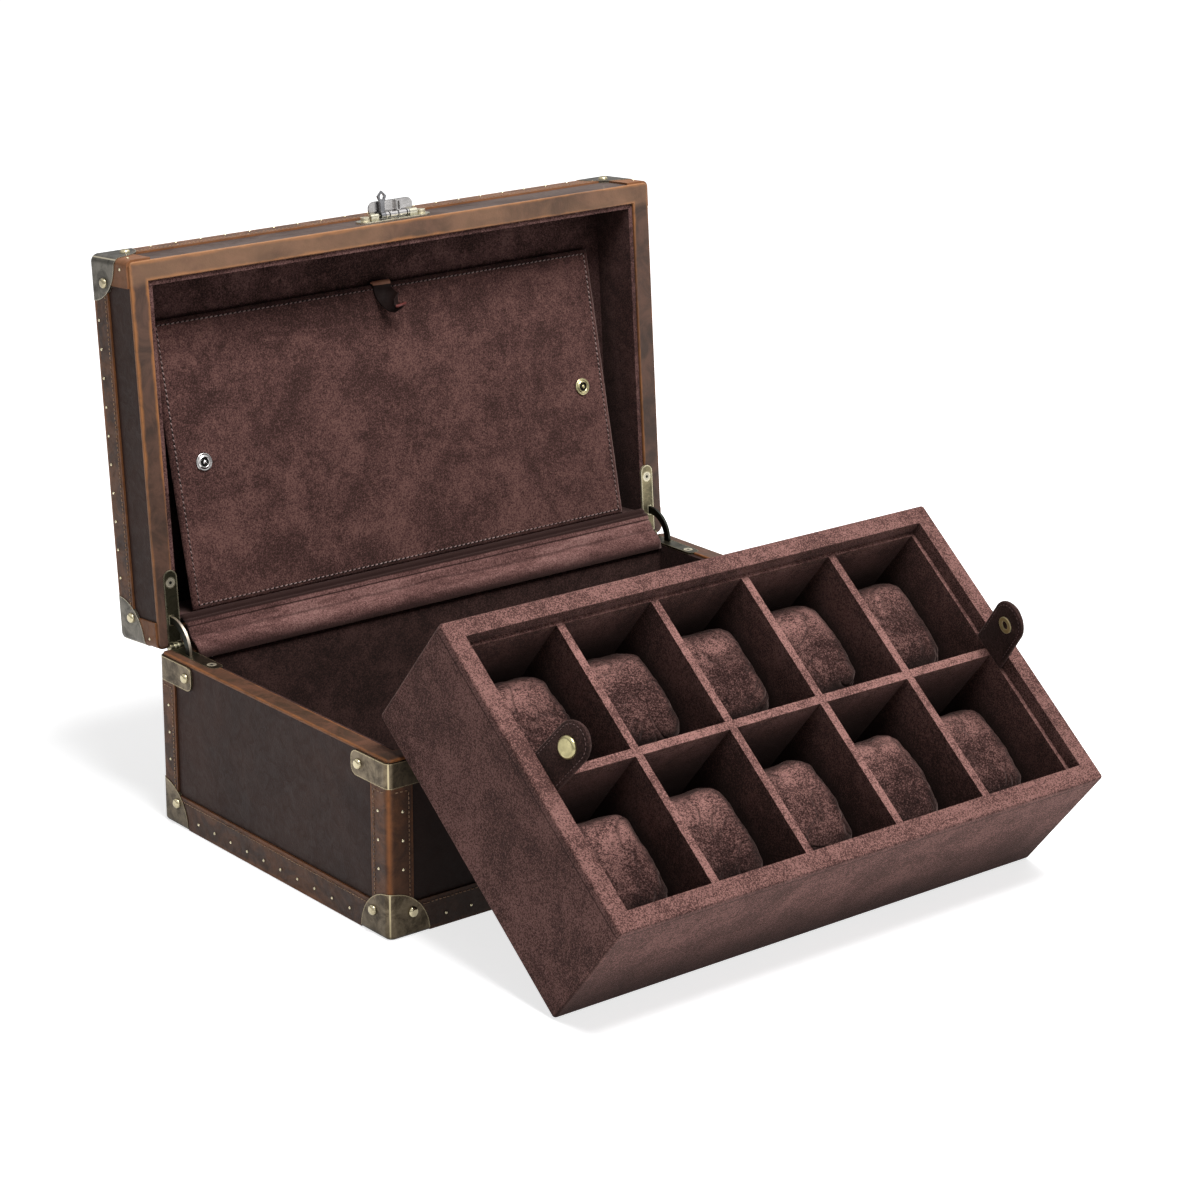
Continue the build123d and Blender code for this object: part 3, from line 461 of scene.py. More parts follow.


# Painted light and shade in these materials: a depth darkens the colour where other surfaces close in, a
# front tone lightens the lid's front, and a given way lightens the faces turned towards it.
MAT = {
    "case": leather("case_leather", (0.029, 0.0145, 0.0115), (0.05, 0.025, 0.019), 0.52, 0.1, depth=0.12),
    "lid_case": leather("lid_case_leather", (0.024, 0.0118, 0.009), (0.042, 0.0205, 0.015), 0.52, 0.1,
                        front=((0.22, 0.17, 0.15), 0.4)),
    "base_trim": banded_leather(
        "base_trim_leather", None, trim_band_base,
        ((0.055, 0.026, 0.016), (0.16, 0.066, 0.03), (0.33, 0.118, 0.036)), 0.5, depth=0.12),
    "lid_trim": banded_leather(
        "lid_trim_leather", shut_mapping(), trim_band_lid,
        ((0.038, 0.0185, 0.0115), (0.135, 0.058, 0.028), (0.27, 0.102, 0.034)), 0.5,
        ((0.38, 0.2, 0.12), 0.25)),
    "base_rim": banded_leather(
        "base_rim_leather", None, rim_band,
        ((0.05, 0.028, 0.017), (0.11, 0.05, 0.03), (0.26, 0.1, 0.036)), 0.45, inner=0.9),
    "lid_rim": banded_leather(
        "lid_rim_leather", shut_mapping(), rim_band,
        ((0.055, 0.035, 0.027), (0.112, 0.061, 0.044), (0.32, 0.135, 0.05)), 0.4,
        ((0.38, 0.21, 0.12), 0.4), patchy=0.9, inner=0.9),
    "brass": metal("antique_brass", (0.12, 0.112, 0.07), (0.04, 0.038, 0.023), 0.38, 0.9,
                   (0.85, 0.78, 0.55), 0.0016),
    # A lighter brass for the right lid leaf: painted light.
    "right_leaf": metal("lit_copy_brass", (0.27, 0.23, 0.13), (0.08, 0.07, 0.04), 0.5, 0.9,
                        (0.85, 0.78, 0.55), 0.0016, metallic=0.75),
    # A lighter, less metallic brass for the right tab's snap ring: painted light.
    "tab_ring": metal("tab_ring_brass", (0.62, 0.5, 0.22), (0.3, 0.24, 0.1), 0.45, 0.6,
                      (0.85, 0.76, 0.45), metallic=0.6),
    "base_leaf": metal("dark_brass", (0.075, 0.068, 0.045), (0.025, 0.022, 0.014), 0.42, 0.9,
                       (0.4, 0.35, 0.22)),
    "base_cap": metal("base_cap_brass", (0.165, 0.13, 0.086), (0.053, 0.04, 0.0265), 0.42, 1.0,
                      (0.5, 0.42, 0.26), mask=cap_edge(), depth=0.06),
    "lid_cap": metal("lid_cap_brass", (0.13, 0.118, 0.098), (0.05, 0.045, 0.036), 0.42, 1.0,
                     (0.5, 0.45, 0.34), mask=cap_edge(shut_mapping())),
    "cream": metal("pale_brass", (0.8, 0.76, 0.6), (0.42, 0.39, 0.29), 0.22, 0.5, (0.25, 0.24, 0.2), 0.0004),
    "dome": metal("rubbed_brass", (0.5, 0.44, 0.29), (0.16, 0.13, 0.08), 0.24, 0.5, (0.8, 0.72, 0.5)),
    "screw": metal("screw_brass", (0.52, 0.48, 0.37), (0.24, 0.21, 0.15), 0.5, 0.6, (0.9, 0.84, 0.66)),
    "tab_brass": metal("tab_brass", (0.46, 0.41, 0.22), (0.22, 0.19, 0.1), 0.3, 0.7, (0.75, 0.68, 0.42)),
    "nickel": metal("nickel", (0.62, 0.6, 0.59), (0.34, 0.33, 0.32), 0.2, 0.6, (0.1, 0.1, 0.1), 0.0006),
    "hook": metal("hook_nickel", (0.3, 0.3, 0.31), (0.14, 0.14, 0.15), 0.24, 0.6, (0.05, 0.05, 0.05), 0.0006),
    "steel": metal("dark_steel", (0.035, 0.036, 0.03), (0.016, 0.018, 0.013), 0.36, 0.6,
                   (0.5, 0.43, 0.35), mask=stay_edge),
    # Near-black for painted shade in recesses, gaps, stitch holes and grooves.
    "recess": leather("recess_shade", (0.008, 0.008, 0.007), (0.012, 0.012, 0.01), 0.6, 0.1),
    # Painted light on the tray's faces turned out of its mouth, and painted shade where surfaces close in.
    "tray": suede("tray_suede", seam=tray_seams_and_fold_shade, fuzz=1250.0, speckle=6.5, lit_toward=TRAY_OUT, depth=0.05),
    "inside": suede("tray_inside_suede", fuzz=1250.0, speckle=5.5, lit_toward=TRAY_OUT, rise=1.0,
                    window=(0.5, 0.98), lit_gain=1.7, depth=0.05, shade_darkness=0.6),
    # A darker copy of the lining suede: painted shade in the base.
    "lining": suede("base_lining_suede", (0.0095, 0.0048, 0.004), (0.031, 0.0145, 0.0125),
                    (0.062, 0.031, 0.027), depth=0.08),
    "lid_lining": suede("lid_lining_suede", (0.024, 0.0125, 0.011), (0.088, 0.042, 0.038),
                        (0.165, 0.088, 0.08), depth=0.05, shade_darkness=0.3),
    "strip": suede("strip_suede", (0.052, 0.0245, 0.0215), (0.135, 0.064, 0.058), (0.24, 0.13, 0.116),
                   40.0, 1.3, strip_shade, speckle=3.2, stretch=(0.3, 1.0, 1.0)),
    "felt": suede("felt", (0.012, 0.008, 0.007), (0.03, 0.02, 0.018), (0.05, 0.035, 0.03)),
    "wood": leather("board", (0.32, 0.2, 0.11), (0.45, 0.3, 0.18), 0.6),
    "tab": suede("tab_suede", (0.011, 0.006, 0.005), (0.029, 0.0145, 0.0125), (0.06, 0.031, 0.028), 40.0),
    "panel": suede("panel_suede", (0.03, 0.0148, 0.0125), (0.078, 0.036, 0.0325), (0.148, 0.073, 0.062),
                   24.0, 3.1, speckle=4.4),
    # The pull strap's colours are painted light and shade: near-black for its shaded body, lighter at its
    # head, and the raw end edge with a painted highlight.
    "pull": leather("pull_leather", (0.007, 0.003, 0.0025), (0.02, 0.008, 0.006), 0.6, 0.1),
    "pull_head": leather("pull_head_lit_leather", (0.24, 0.1, 0.06), (0.42, 0.2, 0.12), 0.6),
    "pull_edge": leather("pull_edge_highlight_leather", (0.11, 0.022, 0.018), (0.22, 0.06, 0.05), 0.35),
    "thread": leather("thread", (0.22, 0.14, 0.13), (0.4, 0.29, 0.27), 0.6),
    "tab_thread": leather("tab_thread", (0.08, 0.045, 0.042), (0.17, 0.1, 0.095), 0.6),
    "trim_thread": leather("trim_thread", (0.2, 0.11, 0.06), (0.42, 0.27, 0.17), 0.55),
}

BOARD_SIDES = ("back", "front", "left", "right")
NODE_LOOKS = {
    "case": ["base_leather"],
    "lid_case": ["lid_leather"],
    "base_trim": ["base_trims"],
    "lid_trim": ["lid_trims"],
    "base_rim": ["base_rim_binding"],
    "lid_rim": ["lid_rim_binding"],
    "brass": ["lid_hinge_leaf_left", "hinge_pins", "clasp_catch"],
    "right_leaf": ["lid_hinge_leaf_right"],
    "base_leaf": ["base_hinge_leaf_left", "base_hinge_leaf_right"],
    "base_cap": ["base_corner_caps", "base_top_clips"],
    "lid_cap": ["lid_corner_caps"],
    "dome": ["base_rivets", "lid_rivets"],
    "cream": ["clasp_plate", "clasp_pin"],
    "nickel": ["clasp_hasp", "panel_studs"],
    "hook": ["clasp_hook"],
    "screw": ["base_screws", "lid_screws"],
    "steel": ["stay_left", "stay_right"],
    "felt": ["underside_pad"],
    "wood": ["base_floor_board", "lid_top_board", *(f"base_board_{side}" for side in BOARD_SIDES),
             *(f"lid_board_{side}" for side in BOARD_SIDES)],
    "lid_lining": ["lid_lining"],
    "lining": ["base_lining"],
    "inside": ["tray_liner", "tray_cross_dividers", "tray_long_divider"],
    "tray": ["tray_box"],
    "tab_brass": ["tab_snap_left"],
    "tab_ring": ["tab_snap_right"],
}
for look, names in NODE_LOOKS.items():
    for name in names:
        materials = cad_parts[name].data.materials
        materials.clear()
        materials.append(MAT[look])


# Mesh helpers
def add_object(name, data):
    obj = bpy.data.objects.new(name, data)
    scene.collection.objects.link(obj)
    return obj


def add_mesh(name, verts, faces):
    mesh = bpy.data.meshes.new(name)
    mesh.from_pydata([tuple(v) for v in verts], [], faces)
    return add_object(name, mesh)


def make(name, verts, faces, mat, body=None):
    """A smooth piece with its normals outward, on its body and in its material slot."""
    obj = add_mesh(name, verts, faces)
    mesh = obj.data
    mesh.validate()
    mesh.materials.append(MAT[mat])
    mesh.polygons.foreach_set("use_smooth", [True] * len(mesh.polygons))
    bm = bmesh.new()
    bm.from_mesh(mesh)
    bmesh.ops.recalc_face_normals(bm, faces=bm.faces)
    bm.to_mesh(mesh)
    bm.free()
    if body:
        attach(obj, body)
    return obj


def circle(sides):
    turns = [k / sides * 2 * math.pi for k in range(sides)]
    return [(math.cos(a), math.sin(a)) for a in turns]


def bands(start, rings, sides):
    """Faces that join rings of vertices, each to the next."""
    faces = []
    for r in range(rings - 1):
        a, b = start + r * sides, start + (r + 1) * sides
        for k in range(sides):
            n = (k + 1) % sides
            faces.append((a + k, a + n, b + n, b + k))
    return faces


def tube(start, rings, sides):
    """Rings of vertices joined, with a face at both ends."""
    last = start + (rings - 1) * sides
    ends = [tuple(range(start, start + sides)), tuple(range(last + sides - 1, last - 1, -1))]
    return bands(start, rings, sides) + ends


def two_layers(columns, rows):
    """A closed sheet: two grids of vertices, one after the other, joined round their edges."""
    one, last = columns * rows, columns - 1
    faces = []
    for j in range(rows - 1):
        for i in range(last):
            a = j * columns + i
            faces.append((a, a + 1, a + columns + 1, a + columns))
            faces.append((one + a, one + a + columns, one + a + columns + 1, one + a + 1))
    rim = list(range(columns)) + [j * columns + last for j in range(1, rows)]
    rim += [(rows - 1) * columns + i for i in range(last - 1, -1, -1)]
    rim += [j * columns for j in range(rows - 2, 0, -1)]
    faces += [(a, one + a, one + b, b) for a, b in zip(rim, rim[1:] + rim[:1])]
    return faces


class Many:
    """Collects many small closed shapes into one piece."""

    def __init__(self):
        self.verts, self.faces = [], []

    def dome(self, place, spot, normal, radius=NAIL_R, height=NAIL_H, sides=10, rings=3):
        """A domed nail head on a face: spot and normal are in the part's own frame."""
        spot, normal = Vector(spot), Vector(normal)
        first = normal.orthogonal().normalized()
        second = normal.cross(first)
        start = len(self.verts)
        for r in range(rings):
            a = r / rings * math.pi / 2
            for c, s in circle(sides):
                p = spot + (first * c + second * s) * radius * math.cos(a) + normal * height * math.sin(a)
                self.verts.append(place(p))
        self.verts += [place(spot + normal * height), place(spot - normal * 0.05)]
        self.faces += bands(start, rings, sides)
        top, low, last = len(self.verts) - 2, len(self.verts) - 1, start + (rings - 1) * sides
        for i in range(sides):
            j = (i + 1) % sides
            self.faces += [(last + i, last + j, top), (start + j, start + i, low)]

    def ring(self, place, level, radius, half, sides=20):
        """A short closed disc about the place's own z axis."""
        start = len(self.verts)
        for z in (level - half, level + half):
            self.verts += [place((radius * c, radius * s, z)) for c, s in circle(sides)]
        self.faces += tube(start, 2, sides)

    def stitch(self, place, spot, along, normal, length, thick, dip=0.35):
        """One thread stitch: a short rod that rises in its middle and dives at both ends."""
        along, normal = Vector(along).normalized(), Vector(normal)
        side = normal.cross(along)
        start, sides = len(self.verts), 5
        stations = (-0.5, -dip, 0.5), (-0.3, 0.25, 1.0), (0.0, 0.42, 1.05), (0.3, 0.25, 1.0), (0.5, -dip, 0.5)
        for t, rise, fat in stations:
            middle = Vector(spot) + along * length * t + normal * thick * rise
            for c, s in circle(sides):
                self.verts.append(place(middle + (side * c + normal * s) * thick / 2 * fat))
        self.faces += tube(start, len(stations), sides)

    def line(self, place, a, b, normal, pitch=STITCH_PITCH, length=STITCH_LENGTH, thick=STITCH_THICK,
             slant=0.0):
        a, b, normal = Vector(a), Vector(b), Vector(normal)
        run = b - a
        count = max(1, round(run.length / pitch))
        along = run.normalized()
        side = normal.cross(along)
        for i in range(count):
            spot = a + run * ((i + 0.5) / count)
            self.stitch(place, spot, along + side * slant, normal, length, thick)

    def piece(self, name, mat, body):
        return make(name, self.verts, self.faces, mat, body)


# Camera
FOCAL_PX = 3384.382
PHOTO_PX = 1200.0
SENSOR = 36.0
CAMERA_AT = Vector((-1161.09, -1489.11, 751.27)) * MM
RIGHT = Vector((0.7779131, -0.6283488, 0.0053836))
DOWN = Vector((-0.1934738, -0.2476596, -0.9493327))
FORWARD = Vector((0.5978454, 0.7374568, -0.3142267))
cam = add_object("camera", bpy.data.cameras.new("camera"))
scene.camera = cam
cam.data.sensor_width = SENSOR
cam.data.lens = FOCAL_PX * SENSOR / PHOTO_PX
cam.data.clip_start, cam.data.clip_end = 0.1, 50.0
turned = Matrix((RIGHT, -DOWN, -FORWARD)).transposed()
cam.matrix_world = Matrix.Translation(CAMERA_AT) @ turned.to_4x4()


# Nails and stitches on the case
def spaced(low, high, pitch):
    count = max(1, round((high - low) / pitch))
    return [low + (high - low) * i / count for i in range(count + 1)]


# The four upright faces of the case: a point on the face, its run, its outward normal and half its length
FACES = (
    (lambda t: Vector((-HALF_X, t, 0)), Vector((0, 1, 0)), Vector((-1, 0, 0)), HALF_Y),
    (lambda t: Vector((HALF_X, t, 0)), Vector((0, 1, 0)), Vector((1, 0, 0)), HALF_Y),
    (lambda t: Vector((t, -HALF_Y, 0)), Vector((1, 0, 0)), Vector((0, -1, 0)), HALF_X),
    (lambda t: Vector((t, HALF_Y, 0)), Vector((1, 0, 0)), Vector((0, 1, 0)), HALF_X),
)
UP = Vector((0, 0, 1))
# On the base: heights, and distances from the ends of a face
BOTTOM_NAILS_Z = 7.4
UPRIGHT_NAILS_Z, UPRIGHT_NAIL_INSET = (40.0, 56.8, 73.6), 8.2
UPRIGHT_SEAM_FOOT, UPRIGHT_SEAM_TOP = 20.5, 84.5
CROSS_SEAM_Z, CROSS_SEAM_INSET = 85.2, 3.0
BAND_SEAM_INSET = 18
nails = Many()
seams = Many()
for at, run, out, half in FACES:
    face = out * TRIM
    for t in spaced(-half + NAIL_END, half - NAIL_END, NAIL_PITCH):
        nails.dome(base_place, at(t) + face + UP * BOTTOM_NAILS_Z, out)
    for end in (-1, 1):
        for z in UPRIGHT_NAILS_Z:
            nails.dome(base_place, at(end * (half - UPRIGHT_NAIL_INSET)) + face + UP * z, out)
        side = at(end * (half - UPRIGHT + STITCH_INSET)) + face
        seams.line(base_place, side + UP * UPRIGHT_SEAM_FOOT, side + UP * UPRIGHT_SEAM_TOP, out)
        outer = at(end * (half - CROSS_SEAM_INSET)) + face
        seams.line(base_place, side + UP * CROSS_SEAM_Z, outer + UP * CROSS_SEAM_Z, out)
    row = face + UP * (BASE_BAND - STITCH_INSET)
    seams.line(base_place, at(-half + BAND_SEAM_INSET) + row, at(half - BAND_SEAM_INSET) + row, out)
nails.piece("base_nails", "dome", "base")
seams.piece("base_trim_stitches", "trim_thread", "base")

# On the lid: distances from its upper edge, from its rim and from the ends of a face
SIDE_NAIL_DROP, TOP_NAIL_INSET = 3.4, 3.6
CORNER_NAIL_RISE, CORNER_NAIL_INSET = 8.5, 4.5
SIDE_SEAM_INSET, TOP_SEAM_INSET = 13, 22
nails = Many()
seams = Many()
for at, run, out, half in FACES:
    face = out * TRIM
    for t in spaced(-half + NAIL_END, half - NAIL_END, NAIL_PITCH):
        nails.dome(lid_place, at(t) + face + UP * (LID_TOP - SIDE_NAIL_DROP), out)
        nails.dome(lid_place, at(t) - out * TOP_NAIL_INSET + UP * (LID_TOP + TRIM), UP)
    for end in (-1, 1):
        spot = at(end * (half - CORNER_NAIL_INSET)) + face + UP * (LID_RIM + CORNER_NAIL_RISE)
        nails.dome(lid_place, spot, out)
    row = face + UP * (LID_TOP - LID_BAND + STITCH_INSET)
    seams.line(lid_place, at(-half + SIDE_SEAM_INSET) + row, at(half - SIDE_SEAM_INSET) + row, out)
    middle = at(0) - out * (LID_BAND - STITCH_INSET) + UP * (LID_TOP + TRIM)
    reach = run * (half - TOP_SEAM_INSET)
    seams.line(lid_place, middle - reach, middle + reach, UP)
nails.piece("lid_nails", "dome", "lid")
seams.piece("lid_trim_stitches", "trim_thread", "lid")


# Painted shade: dark rings in the gaps between the knuckles of the clasp
CLASP_Y, CLASP_Z = -116.2, 114.2
GAPS_X = (-9.6, -3.2, 3.2, 9.6)


def knuckle_place(p):
    """z along the clasp's pin, x and y across it."""
    return lid_place((p[2], p[0] + CLASP_Y, p[1] + CLASP_Z))


gaps = Many()
for x in GAPS_X:
    gaps.ring(knuckle_place, x, radius=1.86, half=0.4)
gaps.piece("clasp_knuckle_gaps", "recess", "hasp")

# Painted shade: a dark disc in the recess of each leaf screw's head
SCREW_X, SCREW_Y = HALF_X - 10.5, HINGE.y - 38.5
for name, place, rim, out in (("base", base_place, RIM_Z, UP), ("lid", lid_place, LID_RIM, -UP)):
    recess = Many()
    for side in (-1, 1):
        recess.dome(place, (side * SCREW_X, SCREW_Y, rim), out, radius=1.0, height=0.12)
    recess.piece(f"{name}_screw_recesses", "recess", name)


# Cover panel: a suede-wrapped board with a soft face and a stitched border
def slab(name, place, size, thick, mat, body, step, swell, seed, edge_round=2.0):
    """A closed slab on an even grid, rounded at its edges, with a slightly uneven front."""
    sx, sy = size
    nx, ny = max(4, round(sx / step)), max(4, round(sy / step))
    xs = [-sx / 2 + sx * i / nx for i in range(nx + 1)]
    ys = [sy * j / ny for j in range(ny + 1)]

    def height(x, y, front):
        d = min(sx / 2 - abs(x), y, sy - y)
        curve = edge_round - math.sqrt(max(0.0, edge_round ** 2 - max(0.0, edge_round - d) ** 2))
        if not front:
            return -thick + curve
        soft = swell * noise.noise(Vector((x / 32 + seed, y / 32, 0.3)))
        soft += 0.35 * swell * noise.noise(Vector((x / 11, y / 11 + seed, 4.0)))
        return -curve + soft * min(1.0, d / 9.0)

    verts = [place((x, y, height(x, y, front))) for front in (True, False) for y in ys for x in xs]
    return make(name, verts, two_layers(nx + 1, ny + 1), mat, body)


panel = slab("panel_suede", panel_place, (PANEL_LENGTH, PANEL_WIDTH), PANEL_THICK, "panel", "panel",
             step=2.2, swell=0.5, seed=2.0)
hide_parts("cover_panel")
PANEL_STITCH = 3.3
border = Many()
# Painted shade: a small dark dot at each stitch hole.
holes = Many()
left, right = -PANEL_LENGTH / 2 + 3.4, PANEL_LENGTH / 2 - 4.2
low, high = 3.6, PANEL_WIDTH - 2.6
corners = [(left, low), (right, low), (right, high), (left, high)]
for (x0, y0), (x1, y1) in zip(corners, corners[1:] + corners[:1]):
    border.line(panel_place, (x0, y0, 0.05), (x1, y1, 0.05), UP, PANEL_STITCH, 2.1, 0.66, slant=0.3)
    run = Vector((x1 - x0, y1 - y0, 0))
    count = round(run.length / PANEL_STITCH)
    for i in range(count + 1):
        spot = Vector((x0, y0, 0.1)) + run * (i / count)
        holes.dome(panel_place, spot, UP, radius=0.62, height=0.12, sides=6, rings=2)
border.piece("panel_stitches", "thread", "panel")
holes.piece("panel_stitch_holes", "recess", "panel")

# Snap studs of the panel, by radius and height: nickel on the left, brass on the right, with painted shade in
# the groove
STUD_PROFILE = ((0.0, 1.9), (0.7, 1.8), (1.15, 1.45), (1.35, 0.9), (1.3, 0.3), (2.6, 0.25), (2.75, 1.0),
                (3.1, 1.3), (3.5, 1.2), (3.9, 0.7), (4.3, 0.55), (4.7, 0.75), (5.1, 0.75), (5.4, 0.45),
                (5.5, 0.0))
STUD_SIDES = 32
STUD_INSETS = ((-1, 21.4), (1, 19.5))
GROOVE = range(3, 6)
verts, faces = [], []
for side, inset in STUD_INSETS:
    x, y = side * (PANEL_LENGTH / 2 - inset), PANEL_WIDTH / 2
    faces += bands(len(verts), len(STUD_PROFILE), STUD_SIDES)
    for r, h in STUD_PROFILE:
        verts += [panel_place((x + r * c, y + r * s, h)) for c, s in circle(STUD_SIDES)]
    faces.append(tuple(range(len(verts) - STUD_SIDES, len(verts))))
studs = make("panel_snap_studs", verts, faces, "nickel", "panel")
for look in ("tab_brass", "recess"):
    studs.data.materials.append(MAT[look])
faces_each = len(studs.data.polygons) // len(STUD_INSETS)
for face in studs.data.polygons:
    band = face.index % faces_each // STUD_SIDES
    face.material_index = 2 if band in GROOVE else (1 if face.center.x > 0 else 0)
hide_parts("panel_studs")

# Straps: a flat band with rounded edges along a path of its own
STRAP_SIDES = 16


def strap(name, path, mat, thick):
    """path is a list of (point, width direction, face direction, half width), in place, in metres;
    the half width is in millimetres."""
    verts = []
    for spot, across, out, half in path:
        edge = min(half, thick * 0.45)
        for c, s in circle(STRAP_SIDES):
            u = (half - edge) * (1 if c > 0 else -1) * min(1.0, abs(c) * 3) + edge * c
            v = thick / 2 * math.copysign(min(1.0, abs(s) ** 0.7 * 1.04), s)
            verts.append(spot + across * (u * MM) + out * (v * MM))
    return make(name, verts, tube(0, len(path), STRAP_SIDES), mat)


# Tabs: the root stands in the gap beside the liner and bends over into the flap, which has a round end
TAB_BEND = 3.4
TAB_STRAIGHT = TAB_LENGTH - TAB_WIDTH / 2
TAB_FOOT, TAB_BEND_FROM = 2.9, 2.4
BEND_STEPS, STRAIGHT_STEPS, ROUND_STEPS = 6, 8, 16
ROUND_END = math.radians(88.5)
TAB_SEAM_INSET, TAB_SEAM_START, TAB_SEAM_PITCH = 2.0, 5.0, 2.5
TAB_STITCH = (1.9, 0.42)
TAB_ROUND_STITCHES = 12


def tab_station(spot, facing, half=TAB_WIDTH / 2):
    here = tray_place(spot)
    across = (tray_place(spot + Vector((0, 1, 0))) - here).normalized()
    return here, across, (tray_place(spot + facing) - here).normalized(), half


for side, name in ((-1, "left"), (1, "right")):
    along = Vector((math.cos(TAB_TURN) * -side, 0, math.sin(TAB_TURN)))
    facing = Vector((math.sin(TAB_TURN) * side, 0, math.cos(TAB_TURN)))
    outward = Vector((side, 0, 0))
    root = Vector((side * TAB_ROOT_X, TRAY_WIDTH / 2, TAB_HEIGHT))
    path = [tab_station(root - UP * TAB_FOOT, outward)]
    for i in range(BEND_STEPS + 1):
        t = i / BEND_STEPS
        mix = t * t * (3 - 2 * t)
        spot = (root - UP * TAB_BEND_FROM * (1 - t)).lerp(root + along * TAB_BEND * t, mix)
        path.append(tab_station(spot, outward.lerp(facing, mix).normalized()))
    for i in range(1, STRAIGHT_STEPS + 1):
        reach = TAB_BEND + (TAB_STRAIGHT - TAB_BEND) * i / STRAIGHT_STEPS
        path.append(tab_station(root + along * reach, facing))
    for i in range(1, ROUND_STEPS + 1):
        a = i / ROUND_STEPS * ROUND_END
        tip = root + along * (TAB_STRAIGHT + TAB_WIDTH / 2 * math.sin(a))
        path.append(tab_station(tip, facing, TAB_WIDTH / 2 * math.cos(a)))
    flap = strap(f"tab_leather_{name}", path, "tab", TAB_THICK)
    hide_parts(f"tab_{name}")
    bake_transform(flap)

    place = tab_place(side)
    seam = Many()
    reach = TAB_WIDTH / 2 - TAB_SEAM_INSET
    for face in (1, -1):
        level = face * (TAB_THICK / 2 - 0.12)
        for y in (-reach, reach):
            start, end = (TAB_SEAM_START, y, level), (TAB_STRAIGHT, y, level)
            seam.line(place, start, end, (0, 0, face), TAB_SEAM_PITCH, *TAB_STITCH)
        for i in range(TAB_ROUND_STITCHES):
            a = (i + 0.5) / TAB_ROUND_STITCHES * math.pi
            spot = (TAB_STRAIGHT + reach * math.sin(a), reach * math.cos(a), level)
            seam.stitch(place, spot, (math.cos(a), -math.sin(a), 0), (0, 0, face), *TAB_STITCH)
    seam.piece(f"tab_stitches_{name}", "tab_thread", f"tab_{name}")


# Pull tab: sewn at the head of the panel, it hangs forward with a twist
def pull_place(p):
    """x along the panel, y out of its face, z down from its head."""
    return panel_place((p[0], PANEL_WIDTH - p[2], p[1]))


def smooth_points(points, steps):
    points = [Vector(p) for p in points]
    made = []
    count = len(points) - 1
    for k in range(count):
        p0, p1 = points[max(0, k - 1)], points[k]
        p2, p3 = points[k + 1], points[min(count, k + 2)]
        for i in range(steps):
            t = i / steps
            made.append(0.5 * (2 * p1 + (p2 - p0) * t + (2 * p0 - 5 * p1 + 4 * p2 - p3) * t * t
                               + (3 * p1 - p0 - 3 * p2 + p3) * t ** 3))
    return made + [points[-1]]


def ahead_of(points, i):
    """The direction of a line of points at one of them."""
    return (points[min(len(points) - 1, i + 1)] - points[max(0, i - 1)]).normalized()


spots = smooth_points([(1.0, -2.6, 2.0), (1.0, -1.2, -1.0), (1.0, 0.9, -0.9), (1.0, 1.1, 3.6),
                       (2.0, 3.8, 8.6), (3.6, 8.2, 12.2), (5.6, 13.0, 14.2)], 5)
turns = smooth_points([(1, 0, 0), (1, 0, 0), (1, 0, 0), (1, 0.06, 0), (0.8, 0.5, 0.1),
                       (0.4, 0.86, 0.22), (0.05, 0.93, 0.33)], 5)
line = [pull_place(p) for p in spots]
# The last two rings are drawn in. The rings over the seam show the lighter head, painted light where it lies
# over the panel's edge; the end has a painted highlight, and the rest is painted near-black for the shade on
# the strap.
drawn_in = {len(line) - 1: 1.4, len(line) - 2: 0.4}
PULL_HEAD = range(5, 12)
PULL_HALF, PULL_THICK = 6.5, 1.5
path = []
for i, spot in enumerate(line):
    ahead = ahead_of(line, i)
    across = (pull_place(spots[i] + turns[i]) - spot).normalized()
    across = (across - ahead * across.dot(ahead)).normalized()
    path.append((spot, across, ahead.cross(across), PULL_HALF - drawn_in.get(i, 0.0)))
pull = strap("pull_strap", path, "pull", PULL_THICK)
for look in ("pull_head", "pull_edge"):
    pull.data.materials.append(MAT[look])
for face in pull.data.polygons:
    ring = face.index // STRAP_SIDES
    face.material_index = 1 if ring in PULL_HEAD else (2 if ring >= len(path) - 2 else 0)
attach(pull, "panel")
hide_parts("pull_tab")

# Suede strip over the hinge line, from the rear lining up to the lid's lining
STRIP_HALF = 174.3
STRIP_THICK = 1.1
STRIP_COLUMNS = 135
HINGE_BLEND = base_place((0, 98.0, 104.4)), base_place((0, 114.0, 120.0))
strip_line = smooth_points([
    (0, 97.4, 100.4), (0, 97.3, 102.0), (0, 97.7, 104.1), (0, 99.6, 106.8), (0, 102.6, 109.0),
    (0, 105.2, 110.6), (0, 106.6, 112.6), (0, 108.2, 115.3), (0, 110.8, 118.0), (0, 113.0, 119.9),
    (0, 114.4, 120.9), (0, 116.4, 121.4)], 4)
strip_length = sum((b - a).length for a, b in zip(strip_line, strip_line[1:]))


def strip_thick(reach):
    """Thickness by the place from foot to head: a rolled seam near the head between two grooves."""
    roll = math.exp(-((reach - 0.74) / 0.045) ** 2)
    groove = math.exp(-((reach - 0.665) / 0.025) ** 2) + math.exp(-((reach - 0.82) / 0.03) ** 2)
    return STRIP_THICK + 0.9 * roll - 0.7 * groove


